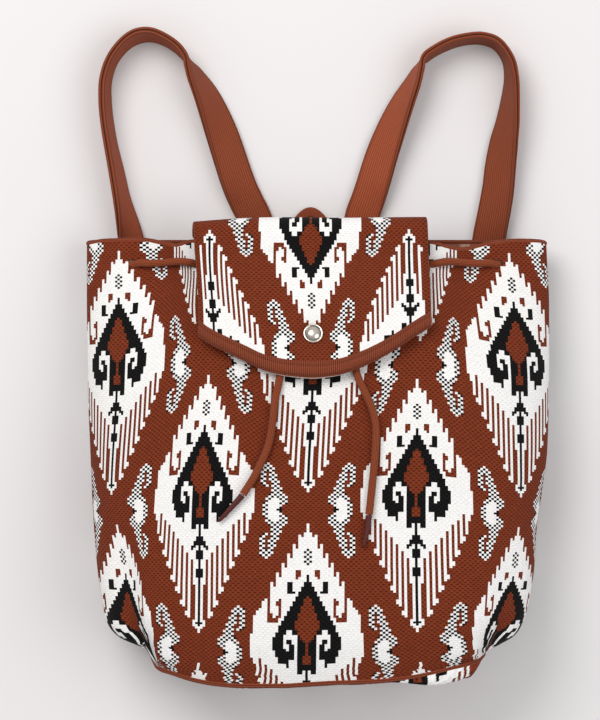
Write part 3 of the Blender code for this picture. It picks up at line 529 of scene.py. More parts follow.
def grid_piece(name, pts, material, yarn=None, uv=None, keep=None, smooth_shade=True):
    """Sheet of quads from a rows x columns grid of points in mm; yarn colours are one a face."""
    rows, cols = pts.shape[:2]
    v = ((pts.reshape(-1, 3) + SHIFT) * 0.001).astype(np.float32)
    r, c = np.meshgrid(np.arange(rows - 1), np.arange(cols - 1), indexing="ij")
    a = r * cols + c
    quads = np.stack([a, a + cols, a + cols + 1, a + 1], -1).reshape(-1, 4)
    pick = np.ones(len(quads), bool) if keep is None else keep.reshape(-1)
    quads = quads[pick]
    me = bpy.data.meshes.new(name)
    me.vertices.add(len(v))
    me.vertices.foreach_set("co", v.reshape(-1))
    me.loops.add(len(quads) * 4)
    me.loops.foreach_set("vertex_index", quads.reshape(-1).astype(np.int32))
    me.polygons.add(len(quads))
    me.polygons.foreach_set("loop_start", (np.arange(len(quads)) * 4).astype(np.int32))
    me.polygons.foreach_set("loop_total", np.full(len(quads), 4, np.int32))
    me.update(calc_edges=True)
    if uv is not None:
        layer = me.uv_layers.new(name="stitch")
        flat = uv.reshape(-1, 2)[quads.reshape(-1)]
        layer.data.foreach_set("uv", flat.astype(np.float32).reshape(-1))
    if yarn is not None:
        col = me.color_attributes.new("yarn", 'FLOAT_COLOR', 'CORNER')
        rgba = np.ones((len(quads), 4, 4), np.float32)
        rgba[:, :, :3] = yarn.reshape(-1, 3)[pick][:, None, :]
        col.data.foreach_set("color", rgba.reshape(-1))
    paint_tint(me, None)
    me.materials.append(material)
    if smooth_shade:
        me.shade_smooth()
    me.validate()
    return link_object(name, me)


def swept(name, centre, wide, normal, profile, material, u_scale, v_scale, closed=False, cap=True, smooth_angle=60, tint=None):
    """Closed section swept along a run: profile is (across, up) points in mm; u runs round it, v along it."""
    n, k = len(centre), len(profile)
    prof = np.array(profile, float)
    if prof.ndim == 2:
        prof = np.repeat(prof[None], n, 0)
    k = prof.shape[1]
    pts = centre[:, None, :] + prof[:, :, 0:1] * wide[:, None, :] + prof[:, :, 1:2] * normal[:, None, :]
    seg = np.concatenate([[0], np.cumsum(np.linalg.norm(np.diff(centre, axis=0), axis=1))])
    around = np.concatenate([[0], np.cumsum(np.linalg.norm(np.diff(np.vstack([prof[0], prof[0][:1]]), axis=0), axis=1))])
    verts = ((pts.reshape(-1, 3) + SHIFT) * 0.001)
    faces, uvs = [], []
    rings = n if closed else n - 1
    for i in range(rings):
        j = (i + 1) % n
        vi, vj = seg[i] * v_scale, (seg[i + 1] if i + 1 < n else seg[-1] + np.linalg.norm(centre[0] - centre[-1])) * v_scale
        for q in range(k):
            q2 = (q + 1) % k
            faces.append((i * k + q, j * k + q, j * k + q2, i * k + q2))
            uvs += [(around[q] * u_scale, vi), (around[q] * u_scale, vj), (around[q + 1] * u_scale, vj), (around[q + 1] * u_scale, vi)]
    if cap and not closed:
        faces.append(tuple(range(k)))
        uvs += [(0.0, 0.0)] * k
        faces.append(tuple((n - 1) * k + q for q in range(k - 1, -1, -1)))
        uvs += [(0.0, 0.0)] * k
    v = verts
    vol = 0.0
    for f in faces[:: max(1, len(faces) // 4000)]:
        for q in range(1, len(f) - 1):
            vol += np.dot(v[f[0]] - v[0], np.cross(v[f[q]] - v[0], v[f[q + 1]] - v[0]))
    if vol < 0:
        flipped, new_uv, p = [], [], 0
        for f in faces:
            flipped.append(tuple(reversed(f)))
            new_uv += list(reversed(uvs[p:p + len(f)]))
            p += len(f)
        faces, uvs = flipped, new_uv
    me = bpy.data.meshes.new(name)
    me.from_pydata([tuple(p) for p in verts], [], faces)
    layer = me.uv_layers.new(name="stitch")
    layer.data.foreach_set("uv", np.array(uvs, np.float32).reshape(-1))
    shade = None
    # painted light and shade, one value a profile face, repeated along the run
    if tint is not None:
        shade = np.ones(len(faces))
        shade[:rings * k] = np.tile(np.asarray(tint, float), rings)
    paint_tint(me, shade)
    me.materials.append(material)
    me.shade_smooth()
    me.set_sharp_from_angle(angle=math.radians(smooth_angle))
    return link_object(name, me)


def run_frames(centre, wide):
    t = np.gradient(centre, axis=0)
    t /= np.linalg.norm(t, axis=1)[:, None]
    w = wide - t * np.sum(wide * t, axis=1)[:, None]
    w /= np.linalg.norm(w, axis=1)[:, None]
    return t, w, np.cross(t, w)


def turned(name, profile, centre, axis, material, sides=64, tint=None):
    n = np.array(axis, float)
    n /= np.linalg.norm(n)
    a = np.cross(n, [0.0, 1.0, 0.0])
    a /= np.linalg.norm(a)
    b = np.cross(n, a)
    verts, faces, rings = [], [], []
    for r, h in profile:
        if r < 1e-6:
            rings.append([len(verts)])
            verts.append(np.array(centre) + n * h)
        else:
            ring = []
            for k in range(sides):
                w = 2 * math.pi * k / sides
                ring.append(len(verts))
                verts.append(np.array(centre) + n * h + r * (math.cos(w) * a + math.sin(w) * b))
            rings.append(ring)
    for r0, r1 in zip(rings[:-1], rings[1:]):
        for k in range(sides):
            k2 = (k + 1) % sides
            if len(r0) == 1:
                faces.append((r0[0], r1[k], r1[k2]))
            elif len(r1) == 1:
                faces.append((r0[k2], r0[k], r1[0]))
            else:
                faces.append((r0[k2], r0[k], r1[k], r1[k2]))
    me = bpy.data.meshes.new(name)
    me.from_pydata([tuple((p + SHIFT) * 0.001) for p in verts], [], faces)
    # painted light and shade, one value a ring of faces
    paint_tint(me, None if tint is None else np.repeat(tint, sides))
    me.materials.append(material)
    me.shade_smooth()
    me.set_sharp_from_angle(angle=math.radians(50))
    bm_fix(me)
    return link_object(name, me)


def bm_fix(me):
    import bmesh
    bm = bmesh.new()
    bm.from_mesh(me)
    bmesh.ops.recalc_face_normals(bm, faces=bm.faces)
    bm.to_mesh(me)
    bm.free()


# ------------------------------------------------------------------ bag body
HALF = 98
# how far down the front each row of stitches lies (0 rim .. 1 base seam), by column, and where the columns cross it in mm
ROW_TABLES = {
    -80: [(-5, 0), (0, 0.028), (22, 0.143), (60, 0.355), (111, 0.621), (126, 0.693), (148, 0.809), (157, 0.854), (172, 0.928),
          (187, 1.0), (201, 1.07)],
    -40: [(-6, 0), (5, 0.043), (38, 0.178), (63, 0.310), (85, 0.423), (123, 0.633), (174, 0.894), (189, 0.963), (197, 1.0),
          (201, 1.02)],
    0: [(-5, 0), (0, 0.024), (22, 0.137), (68, 0.371), (111, 0.573), (126, 0.643), (148, 0.757), (186, 0.959), (195, 1.0),
        (201, 1.03)],
    40: [(-6, 0), (5, 0.046), (38, 0.180), (63, 0.322), (85, 0.435), (123, 0.637), (174, 0.901), (189, 0.972), (195.5, 1.0),
         (201, 1.03)],
    80: [(-5.5, 0), (0, 0.031), (22, 0.151), (60, 0.355), (111, 0.627), (126, 0.699), (148, 0.816), (157, 0.854), (172, 0.928),
         (187, 1.0), (201, 1.07)]}
COLUMN_TABLES = {
    -80: [(-7, -141.5), (22, -141.4), (60, -141.8), (111, -145.8), (126, -141.7), (148, -134.7), (157, -133.5), (172, -130.5),
          (187, -118), (201, -117)],
    -63: [(-7, -108.5), (15, -108.5), (35, -112), (63, -114.5), (126, -119), (160, -120), (184, -118), (201, -115)],
    -40: [(-7, -82), (30, -82), (63, -77.1), (85, -79.3), (123, -82.6), (174, -83.5), (201, -84)],
    0: [(-7, -2), (30, -3), (68, -4.6), (111, -7.4), (148, -7.5), (186, -8.4), (201, -8.5)],
    40: [(-7, 74), (30, 74), (63, 68.9), (85, 68.7), (123, 67.8), (174, 68.6), (189, 70.8), (201, 71.5)],
    63: [(-7, 105.2), (15, 105.5), (63, 111), (126, 112.5), (150, 113), (184, 112), (201, 112)],
    80: [(-7, 135.4), (0, 135.4), (22, 138), (60, 141.9), (111, 141.9), (126, 140.4), (148, 136.6), (157, 134.7), (172, 130.5),
         (187, 118), (201, 117)]}
CROSS_LIMIT = {-80: 0.992, -63: 0.955, -40: 0.85, 0: 0.5, 40: 0.85, 63: 0.955, 80: 0.992}

V_STEPS, F_STEPS = 181, 261


def side_tables():
    """Points of every cross section at even steps of arc, from the crown (or the back's middle) out to the side crease."""
    out = {}
    t = np.linspace(0, np.pi / 2, 700)
    for key in ("front_l", "front_r", "back_l", "back_r"):
        out[key] = np.zeros((V_STEPS, F_STEPS, 4))
    for i, v in enumerate(np.linspace(0, 1, V_STEPS)):
        a_l, a_r, top, mid, low, nf, nb = [float(q) for q in section_values(v)]
        for key in out:
            a = a_l if key.endswith("l") else a_r
            n, h, s = (nf, top - mid, 1.0) if key.startswith("front") else (nb, mid - low, -1.0)
            x, z = a * np.sin(t) ** (2 / n), mid + s * h * np.cos(t) ** (2 / n)
            d = np.concatenate([[0], np.cumsum(np.hypot(np.diff(x), np.diff(z)))])
            at = np.linspace(0, d[-1], F_STEPS)
            xs, zs = np.interp(at, d, x), np.interp(at, d, z)
            tx, tz = np.gradient(xs), np.gradient(zs)
            ln = np.hypot(tx, tz)
            tx, tz = tx / ln, tz / ln
            nx, nz = (-tz * s, tx * s)
            sx = -1.0 if key.endswith("l") else 1.0
            out[key][i, :, 0] = CROWN_X + sx * xs
            out[key][i, :, 1] = zs
            out[key][i, :, 2] = sx * nx
            out[key][i, :, 3] = nz
    return out


SIDES = side_tables()


def look_up(table, v, f):
    i = np.clip(v, 0, 1) * (V_STEPS - 1)
    j = np.clip(f, 0, 1) * (F_STEPS - 1)
    i0, j0 = np.minimum(i.astype(int), V_STEPS - 2), np.minimum(j.astype(int), F_STEPS - 2)
    di, dj = (i - i0)[..., None], (j - j0)[..., None]
    return (table[i0, j0] * (1 - di) * (1 - dj) + table[i0 + 1, j0] * di * (1 - dj)
            + table[i0, j0 + 1] * (1 - di) * dj + table[i0 + 1, j0 + 1] * di * dj)


def section_point(v, f, side):
    left = look_up(SIDES[side + "_l"], v, -f)
    right = look_up(SIDES[side + "_r"], v, f)
    q = np.where((f < 0)[..., None], left, right)
    low, top = curve_through(BACK_Z, np.clip(v, 0, 1)), section_values(np.clip(v, 0, 1))[2]
    share = smooth((q[..., 1] - low) / (top - low))
    return q, share * rim_y(q[..., 0]) + (1 - share) * MOUTH_Y, base_y(q[..., 0])


def surface(v, f, side, inset=0.0):
    """Point of the bag's outer face: v down from the rim, f from -1 at the left crease to 1 at the right one."""
    v, f = np.broadcast_arrays(np.asarray(v, float), np.asarray(f, float))
    q, y_top, y_low = section_point(v, f, side)
    y = y_top + (y_low - y_top) * np.clip(v, 0, 1)
    return np.stack([q[..., 0] - q[..., 2] * inset, y, q[..., 1] - q[..., 3] * inset], -1)


def fraction_at(v, x):
    """Share of the arc at which the front's section at v passes x."""
    left = x < CROWN_X
    tab = SIDES["front_l" if left else "front_r"]
    i = int(round(float(np.clip(v, 0, 1)) * (V_STEPS - 1)))
    xs = np.abs(tab[i, :, 0] - CROWN_X)
    return float(np.interp(abs(x - CROWN_X), xs, np.linspace(0, 1, F_STEPS))) * (-1 if left else 1)


ROWS = np.arange(-7, 201, 1.0)
COLS = np.arange(-HALF - 0.5, HALF + 1.0, 1.0)


def stitch_lattice():
    """v and f of every corner between stitches on the front and on the back."""
    v_cols = [-HALF - 0.5, -80, -40, 0, 40, 80, HALF + 0.5]
    v_key = [-80, -80, -40, 0, 40, 80, 80]
    v_at = np.array([curve_through(ROW_TABLES[k], ROWS) for k in v_key])
    vf = np.array([curve_through(list(zip(v_cols, v_at[:, i])), COLS) for i in range(len(ROWS))])
    f_cols = [-80, -63, -40, 0, 40, 63, 80]
    ff = np.zeros_like(vf)
    for i in range(len(ROWS)):
        pairs = [(-HALF - 0.5, -1.0)]
        for k in f_cols:
            vk = float(np.interp(k, COLS, vf[i]))
            a_l, a_r = [float(q) for q in section_values(min(max(vk, 0), 1))[:2]]
            x = float(curve_through(COLUMN_TABLES[k], ROWS[i]))
            a = a_l if x < CROWN_X else a_r
            reach = min(abs(x - CROWN_X), CROSS_LIMIT[k] * a)
            pairs.append((k, fraction_at(vk, CROWN_X + math.copysign(reach, x - CROWN_X))))
        pairs.append((HALF + 0.5, 1.0))
        ff[i] = curve_through(pairs, COLS)
    # keep each row of stitches even in height between the columns that fix it
    def levels(v, f):
        y_top, y_low = section_point(v, f, "front")[1:]
        return y_top, y_low, y_top + (y_low - y_top) * v
    at = np.array([0] + [int(round(k + HALF + 0.5)) for k in (-80, -40, 0, 40, 80)] + [len(COLS) - 1])
    y_key = levels(vf, ff)[2][:, at]
    goal = np.array([curve_through(list(zip(COLS[at], y_key[i])), COLS) for i in range(len(ROWS))])
    for _ in range(5):
        y_top, y_low, y = levels(vf, ff)
        vf = vf + 0.8 * (goal - y) / (y_low - y_top)
    share = (COLS + HALF + 0.5) / (2 * HALF + 1)
    vb = vf[:, :1] * (1 - share) + vf[:, -1:] * share
    fb = np.broadcast_to(COLS / (HALF + 0.5), vb.shape)
    return vf, ff, vb, fb


V_FRONT, F_FRONT, V_BACK, F_BACK = stitch_lattice()
FRONT = surface(V_FRONT, F_FRONT, "front")
BACK = surface(V_BACK, F_BACK, "back")


def under_cord(x, y):
    """Hollow of the gathered cloth below the drawstring's outer runs: depth in mm."""
    d = np.zeros_like(x)
    for h in (HOLES_LEFT, HOLES_RIGHT):
        lo, hi = min(h[0], h[1]), max(h[0], h[1])
        d = d - 2.3 * bell(y - 55.5, 7.0) * smooth((x - lo + 1) / 12) * smooth((hi + 9 - x) / 16)
        d = d - 0.9 * bell(y - 70.5, 4.0) * smooth((x - lo + 1) / 12) * smooth((hi + 9 - x) / 16)
    return d


def grid_normals(p):
    du = np.gradient(p, axis=1)
    dv = np.gradient(p, axis=0)
    n = np.cross(dv, du)
    return n / (np.linalg.norm(n, axis=-1, keepdims=True) + 1e-9)


def outward(v, f, side):
    """Outward direction of the bag's face, level across its section."""
    a, b = surface(v, f, side), surface(v, f, side, -1.0)
    return b - a


def corner_folds(p):
    """Folds of the gusset that run into the pinched lower corners: depth in mm."""
    x, y, z = p[..., 0], p[..., 1], p[..., 2]
    d = np.zeros_like(x)
    for side, cx, cy, amp in ((-1, -117.0, -209.0, 1.0), (1, 117.0, -212.0, 0.8)):
        dx, dy = (x - cx) * side, y - cy
        r = np.hypot(dx, dy)
        ang = np.arctan2(dy, dx + 1e-6)
        fade = smooth(r / 7) * (1 - smooth((r - 16) / 42)) * smooth((dx + 6) / 16)
        d = d + amp * 2.0 * fade * np.sin(ang * 6.0 + 0.6 + z * 0.05)
        d = d - amp * 3.0 * bell(dx - 10, 6.0) * bell(dy - 14, 16.0) * smooth((z - 55) / 20)
    return d


def shape_sheet(p, v, f, front):
    n = outward(v, f, "front" if front else "back")
    x, y = p[..., 0], p[..., 1]
    if front:
        d = ripple(x, y) + corner_folds(p) + under_cord(x, y)
    else:
        d = smooth((p[..., 2] - 5.5) / 8) * (0.6 * np.sin(x / 24.0) * np.sin(y / 29.0) + corner_folds(p) * 0.6)
    d = d * smooth((1 - np.abs(f)) / 0.06) * smooth((1 - v) / 0.02)
    return p + n * d[..., None]


def stitch_uv(rows, cols):
    r, c = np.meshgrid(rows, cols, indexing="ij")
    return np.stack([c + 0.5, -r], -1)


rng = np.random.default_rng(7)


def yarn_colours(col, row, table=YARN_COLOURS, amount=0.05, mottle=(1.12, 0.98)):
    """Colour of each stitch; the rust ground is made of a lighter and a darker stitch by turns."""
    y = yarn_at(col, row)
    base = table[y].copy()
    odd = (np.asarray(col, int) + np.asarray(row, int)) % 2 == 1
    tone = np.where(odd, mottle[1], mottle[0])
    base = base * np.where(y == RUST, tone, 1.0)[..., None]
    vary = 1 + amount * np.where(y == WHITE, 0.25, 1.0)[..., None] * rng.standard_normal(y.shape + (1,))
    return np.clip(base * vary, 0.003, 0.95)


FRONT_S = shape_sheet(FRONT, V_FRONT, F_FRONT, True)
BACK_S = shape_sheet(BACK, V_BACK, F_BACK, False)
fr, fc = np.meshgrid(ROWS[:-1].astype(int), np.arange(-HALF, HALF + 1), indexing="ij")


def inside_sheet(v):
    """Faces that are not squeezed flat at the rim or at the base seam."""
    top = np.minimum(v[:-1, :-1], v[:-1, 1:])
    low = np.maximum(v[1:, :-1], v[1:, 1:])
    return (low > 1e-5) & (top < 1 - 1e-5)


face_mid = (FRONT_S[:-1, :-1] + FRONT_S[1:, 1:]) / 2
keep = inside_sheet(V_FRONT)
for hx in HOLES_LEFT + HOLES_RIGHT:
    keep &= ~(np.hypot((face_mid[..., 0] - hx) / 1.3, face_mid[..., 1] - CORD_Y) < 2.9) | (face_mid[..., 2] < 30)
body_front = grid_piece("body_front", FRONT_S, KNIT, yarn_colours(fc, fr), stitch_uv(ROWS, COLS), keep)
body_back = grid_piece("body_back", BACK_S[:, ::-1], KNIT, yarn_colours(fc, fr)[:, ::-1], stitch_uv(ROWS, COLS),
                       inside_sheet(V_BACK)[:, ::-1])

# inside face, coarser: the reverse of the knit
front_in = FRONT_S[::2, ::2] - outward(V_FRONT, F_FRONT, "front")[::2, ::2] * 2.6
back_in = BACK_S[::2, ::2] - outward(V_BACK, F_BACK, "back")[::2, ::2] * 2.6
fr2, fc2 = np.meshgrid(ROWS[::2][:-1].astype(int), np.arange(-HALF, HALF + 1)[::2][:front_in.shape[1] - 1], indexing="ij")
uv_in = stitch_uv(ROWS[::2], COLS[::2])
body_in_front = grid_piece("body_inside_front", front_in[:, ::-1], KNIT_IN, yarn_colours(fc2, fr2, BACK_COLOURS)[:, ::-1],
                           uv_in, inside_sheet(V_FRONT[::2, ::2])[:, ::-1])
body_in_back = grid_piece("body_inside_back", back_in, KNIT_IN, yarn_colours(fc2, fr2, BACK_COLOURS), uv_in,
                          inside_sheet(V_BACK[::2, ::2]))


def loop_at(v, count=150):
    """Closed run round the bag at v: the front from left to right, then the back."""
    f = np.linspace(-1, 1, count)
    vv = np.full(count, float(v))
    a = shape_sheet(surface(vv, f, "front"), vv, f, True)
    b = shape_sheet(surface(vv, f, "back"), vv, f, False)
    return np.concatenate([a[:-1], b[::-1][:-1]])


def loop_frames(loop):
    tan = np.roll(loop, -1, 0) - np.roll(loop, 1, 0)
    tan /= np.linalg.norm(tan, axis=1)[:, None]
    out = np.cross(np.array([0.0, 1.0, 0.0]), tan)
    out /= np.linalg.norm(out, axis=1)[:, None]
    if np.mean(np.sum(out * (loop - loop.mean(0)), axis=1)) < 0:
        out = -out
    return out, np.cross(tan, out)


# rolled hem round the mouth
rim = loop_at(0.0)
out, up = loop_frames(rim)
centre = rim - out * 1.15
centre[:, 1] -= 0.6
prof = [(1.75 * math.cos(w), 1.75 * math.sin(w)) for w in np.linspace(0, 2 * math.pi, 14, endpoint=False)]
rim_hem = swept("rim_hem", centre, out, up, prof, RIB, 0.62, 0.62, closed=True)


# ------------------------------------------------------------------ base panel
base_loop = loop_at(1.0, 420)
bcx, bcz = float(base_loop[:, 0].mean()), float(base_loop[:, 2].mean())
RINGS = np.concatenate([1 - 0.07 * (1 - np.cos(np.linspace(0, np.pi / 2, 9))), np.linspace(0.92, 0.0, 58)])
base_pts = []
for k, r in enumerate(RINGS):
    px, pz = bcx + (base_loop[:, 0] - bcx) * r, bcz + (base_loop[:, 2] - bcz) * r
    swell = 2.6 * (1 - r * r) + 3.1 * math.sqrt(max(0.0, 1 - ((r - 0.965) / 0.035) ** 2)) if r > 0.965 else 2.6 * (1 - r * r) + 3.1
    ripple_b = 0.5 * np.sin(px / 13.0) * np.sin(pz / 11.0) * (1 - r)
    edge_r = math.sqrt(max(0.0, 1 - (max(0.0, r - 0.93) / 0.07) ** 2))
    spill = 8.0 * smooth((px - 48) / 42) * (1 - smooth((px - 106) / 12)) * smooth((pz - 45) / 40) * edge_r * float(smooth(r / 0.7))
    base_pts.append(np.stack([px, base_y(px) - swell - ripple_b - spill, pz], -1))
base_pts = np.array(base_pts)
base_pts = np.concatenate([base_pts, base_pts[:, :1]], 1)
bm = (base_pts[:-1, :-1] + base_pts[1:, 1:]) / 2
BASE_X = -8.4
bcol = np.round((bm[..., 0] - BASE_X) / 1.94).astype(int)
brow = np.round((98 - bm[..., 2] + base_y(bm[..., 0]) - bm[..., 1]) / 1.70).astype(int) + 244
ring_mid = (RINGS[:-1] + RINGS[1:]) / 2
base_rgb = yarn_colours(bcol, brow)
plain_edge = (ring_mid > 0.955)[:, None] & ((bm[..., 0] < 52) | (bm[..., 2] < 50) | (ring_mid > 0.998)[:, None])
base_rgb[plain_edge] = RUST_RIB
buv = np.stack([(base_pts[..., 0] - BASE_X) / 1.94, (98 - base_pts[..., 2]) / 1.70], -1)
base_vis = grid_piece("base_panel_knit", base_pts, KNIT, base_rgb, buv)
bout, bup = loop_frames(base_loop)
bprof = [(1.1 * math.cos(w), 1.5 * math.sin(w)) for w in np.linspace(0, 2 * math.pi, 12, endpoint=False)]
base_centre = base_loop - bout * 0.8
base_centre[:, 1] -= 1.3
base_seam = swept("base_seam", base_centre, bout, bup, bprof, RIB, 0.62, 0.62, closed=True)

# ------------------------------------------------------------------ flap
FOLD_RUN = spline([(0.0, p[0], p[1]) for p in FLAP_FOLD], 10)
FOLD_LEN = np.concatenate([[0], np.cumsum(np.linalg.norm(np.diff(FOLD_RUN, axis=0), axis=1))])
FOLD_END_Y = FLAP_FOLD[-1][0]
BAND_TALL = 10.0


def flap_rise(x, y):
    d = np.hypot(x - SNAP_X, y - SNAP_Y)
    upright = front_normal(x, y)[..., 2]
    return (FLAP_RISE - (FLAP_RISE - SNAP_RISE) * np.exp(-(d / 14.5) ** 4)) / upright


def flap_under(a, s, tall):
    """Underside of the flap at a across (-1..1) and s along (0..1 fold, 1..2 front), as arrays."""
    a, s = np.asarray(a, float), np.asarray(s, float)
    t = s * 0.5
    xl, xr = -89.5 + 6.5 * smooth(t), 75.6 + 2.4 * smooth(t)
    x = xl + (xr - xl) * (a + 1) / 2
    d = np.clip(s, 0, 1) * FOLD_LEN[-1]
    y1 = np.interp(d, FOLD_LEN, FOLD_RUN[:, 1])
    z1 = np.interp(d, FOLD_LEN, FOLD_RUN[:, 2])
    left = np.maximum(0.0, -a) ** 2
    y1 = np.where(y1 > HINGE_Y, HINGE_Y + (y1 - HINGE_Y) * (1 - 0.30 * left), y1)
    goal = front_z(x, FOLD_END_Y + 0 * x) + flap_rise(x, FOLD_END_Y + 0 * x)
    z1 = z1 + smooth(s) * (goal - FLAP_FOLD[-1][1])
    edge = curve_through(FLAP_EDGE, x) + tall
    y2 = FOLD_END_Y + (edge - FOLD_END_Y) * (np.clip(s, 1, 2) - 1.0)
    z2 = front_z(x, y2) + flap_rise(x, y2)
    on_fold = s <= 1.0
    return np.stack([x, np.where(on_fold, y1, y2), np.where(on_fold, z1, z2)], -1)


def flap_wave(p):
    """Soft unevenness of the flap, in mm."""
    x, y = p[..., 0], p[..., 1]
    d = 0.35 * np.sin(x / 19.0 + 0.7) * np.sin(y / 21.0)
    d = d + 0.5 * bell(x + 66, 16) * bell(y - 60, 20) - 0.35 * bell(x - 52, 14) * bell(y - 52, 22)
    d = d - 0.7 * bell(np.hypot(x - SNAP_X, y - SNAP_Y) - 9.0, 3.0)
    return d


def oriented(n, p, to):
    return n if np.mean(np.sum(n * to, -1)) > 0 else -n


STITCH_Y = 1.55
FLAP_EDGES = np.arange(-46.5, 48.0, 1.0)
FLAP_COLS = len(FLAP_EDGES)
FOLD_ROWS = int(round(FOLD_LEN[-1] / STITCH_Y))
TIP_Y, LOWEST_ROW = 13.0, -26
BAND_TOP = BAND_TALL - 0.4
TOP_ROW = 17 + (FOLD_END_Y - TIP_Y - 17 * 1.57) / 1.50


def across_at(t):
    """Places of the flap's columns from -1 to 1 across it, at t from its root (0) to its lower edge (1)."""
    xl, xr = -89.5 + 6.5 * float(smooth(t)), 75.6 + 2.4 * float(smooth(t))
    low = float(smooth((t - 0.5) / 0.5))
    pairs = [(-46.5, xl), (-40, -76.5 + 4.2 * low), (0, -5.4 + 1.4 * low), (40, 63.6 + 0.3 * low), (47.5, xr)]
    return 2 * (curve_through(pairs, FLAP_EDGES) - xl) / (xr - xl) - 1


def flap_rows():
    """Corners between the flap's stitches, with level rows that stop at the band, and each line's row number."""
    rows, number = [], []
    for k in range(FOLD_ROWS):
        s = k / FOLD_ROWS
        rows.append(flap_under(across_at(s / 2), np.full(FLAP_COLS, s), BAND_TOP))
        number.append(TOP_ROW + (FOLD_ROWS - k))
    steps = [TOP_ROW] + list(range(int(math.floor(TOP_ROW - 0.2)), LOWEST_ROW, -1))
    for r in steps:
        y = TIP_Y + (1.57 * r if r < 17 else 17 * 1.57 + 1.50 * (r - 17))
        part = (FOLD_END_Y - y) / 78.0
        a = across_at(0.5 + 0.5 * min(1.0, part))
        x = -83.0 + 161.0 * (a + 1) / 2
        edge = curve_through(FLAP_EDGE, x) + BAND_TOP
        tilt = 4.5 * smooth(x / 70.0) * smooth(part / 0.5)
        yy = np.maximum(np.minimum(y + tilt, FOLD_END_Y), edge)
        rows.append(flap_under(a, 1.0 + (FOLD_END_Y - yy) / (FOLD_END_Y - edge), BAND_TOP))
        number.append(float(r))
    return np.array(rows), np.array(number)


under, line_row = flap_rows()
FRONT_ROWS = len(under) - FOLD_ROWS - 1
stuck = np.linalg.norm(np.diff(under, axis=0), axis=2) < 0.02
du = np.gradient(under, axis=1)
down = np.zeros_like(under)
down[:-1] = np.diff(under, axis=0)
down[-1] = down[-2]
for k in range(1, len(down)):
    weak = np.linalg.norm(down[k], axis=1) < 0.3
    down[k][weak] = down[k - 1][weak]
fn = np.cross(down, du)
fn /= np.linalg.norm(fn, axis=-1, keepdims=True)
fn = oriented(fn, under, np.array([0.0, 0.35, 1.0]))
for _ in range(3):
    fn[1:-1] = (fn[:-2] + 2 * fn[1:-1] + fn[2:]) / 4
    fn /= np.linalg.norm(fn, axis=-1, keepdims=True)
ss = np.concatenate([np.repeat((np.arange(FOLD_ROWS) / FOLD_ROWS)[:, None], FLAP_COLS, 1),
                     np.full((FRONT_ROWS + 1, FLAP_COLS), 1.5)])
wave = flap_wave(under) * smooth(ss / 0.5)
LIFT = 1.2
top_face = under + fn * (LIFT + 2.2 + wave)[..., None]
low_face = under + fn * (LIFT + 0.0 + wave)[..., None]
face_row = np.floor((line_row[:-1] + line_row[1:]) / 2).astype(int)
frow_i, fcol_i = np.meshgrid(face_row, np.arange(FLAP_COLS - 1) - 46, indexing="ij")
flap_keep = ~(stuck[:, :-1] & stuck[:, 1:])
flap_rgb = yarn_colours(fcol_i, frow_i)
for j in (0, 1, FLAP_COLS - 3, FLAP_COLS - 2):
    flap_rgb[:, j] = YARN_COLOURS[RUST] * 0.95
flap_reverse_rgb = yarn_colours(fcol_i, frow_i, BACK_COLOURS)
fuv = np.stack(np.broadcast_arrays(np.arange(FLAP_COLS)[None, :] + 0.0, -line_row[:, None] + 0.0), -1)
flap_top = grid_piece("flap_knit", top_face[:, ::-1], KNIT, flap_rgb[:, ::-1], fuv[:, ::-1], flap_keep[:, ::-1])


# thin side and lower walls of the flap, and its reverse
def wall_piece(name, a_line, b_line, material, u_scale=0.6, v_scale=0.6, bulge=0.35, away=None, count=5):
    """Rounded strip between two edge lines."""
    rows = []
    side = np.gradient(a_line, axis=0)
    side /= np.linalg.norm(side, axis=1)[:, None] + 1e-9
    across = b_line - a_line
    ln = np.linalg.norm(across, axis=1)[:, None]
    outw = np.cross(side, across / (ln + 1e-9))
    if away is not None and np.mean(np.sum(outw * away, axis=1)) < 0:
        outw = -outw
    for k in range(count):
        t = k / (count - 1)
        rows.append(a_line + across * t + outw * (math.sin(math.pi * t) * bulge * ln))
    g = np.array(rows)
    seg = np.concatenate([[0], np.cumsum(np.linalg.norm(np.diff(a_line, axis=0), axis=1))])
    uv = np.stack([np.broadcast_to(seg * v_scale, g.shape[:2]),
                   np.broadcast_to((np.arange(count) * 0.6 * u_scale)[:, None], g.shape[:2])], -1)
    return g, uv


free_l = np.concatenate([[True], ~stuck[:, 0]])
free_r = np.concatenate([[True], ~stuck[:, -1]])
left_g, left_uv = wall_piece("l", top_face[free_l, 0], low_face[free_l, 0], RIB, away=np.array([-1.0, 0, 0]))
right_g, right_uv = wall_piece("r", top_face[free_r, -1], low_face[free_r, -1], RIB, away=np.array([1.0, 0, 0]))
root_g, root_uv = wall_piece("t", top_face[0], low_face[0], RIB, away=np.array([0.0, 0, -1.0]))
flap_left = grid_piece("flap_side_left", left_g, RIB, None, left_uv)
flap_right = grid_piece("flap_side_right", right_g[::-1], RIB, None, right_uv)
flap_root = grid_piece("flap_root_edge", root_g, RIB, None, root_uv)
flap_reverse = grid_piece("flap_reverse", low_face, KNIT_IN, flap_reverse_rgb, fuv, flap_keep)

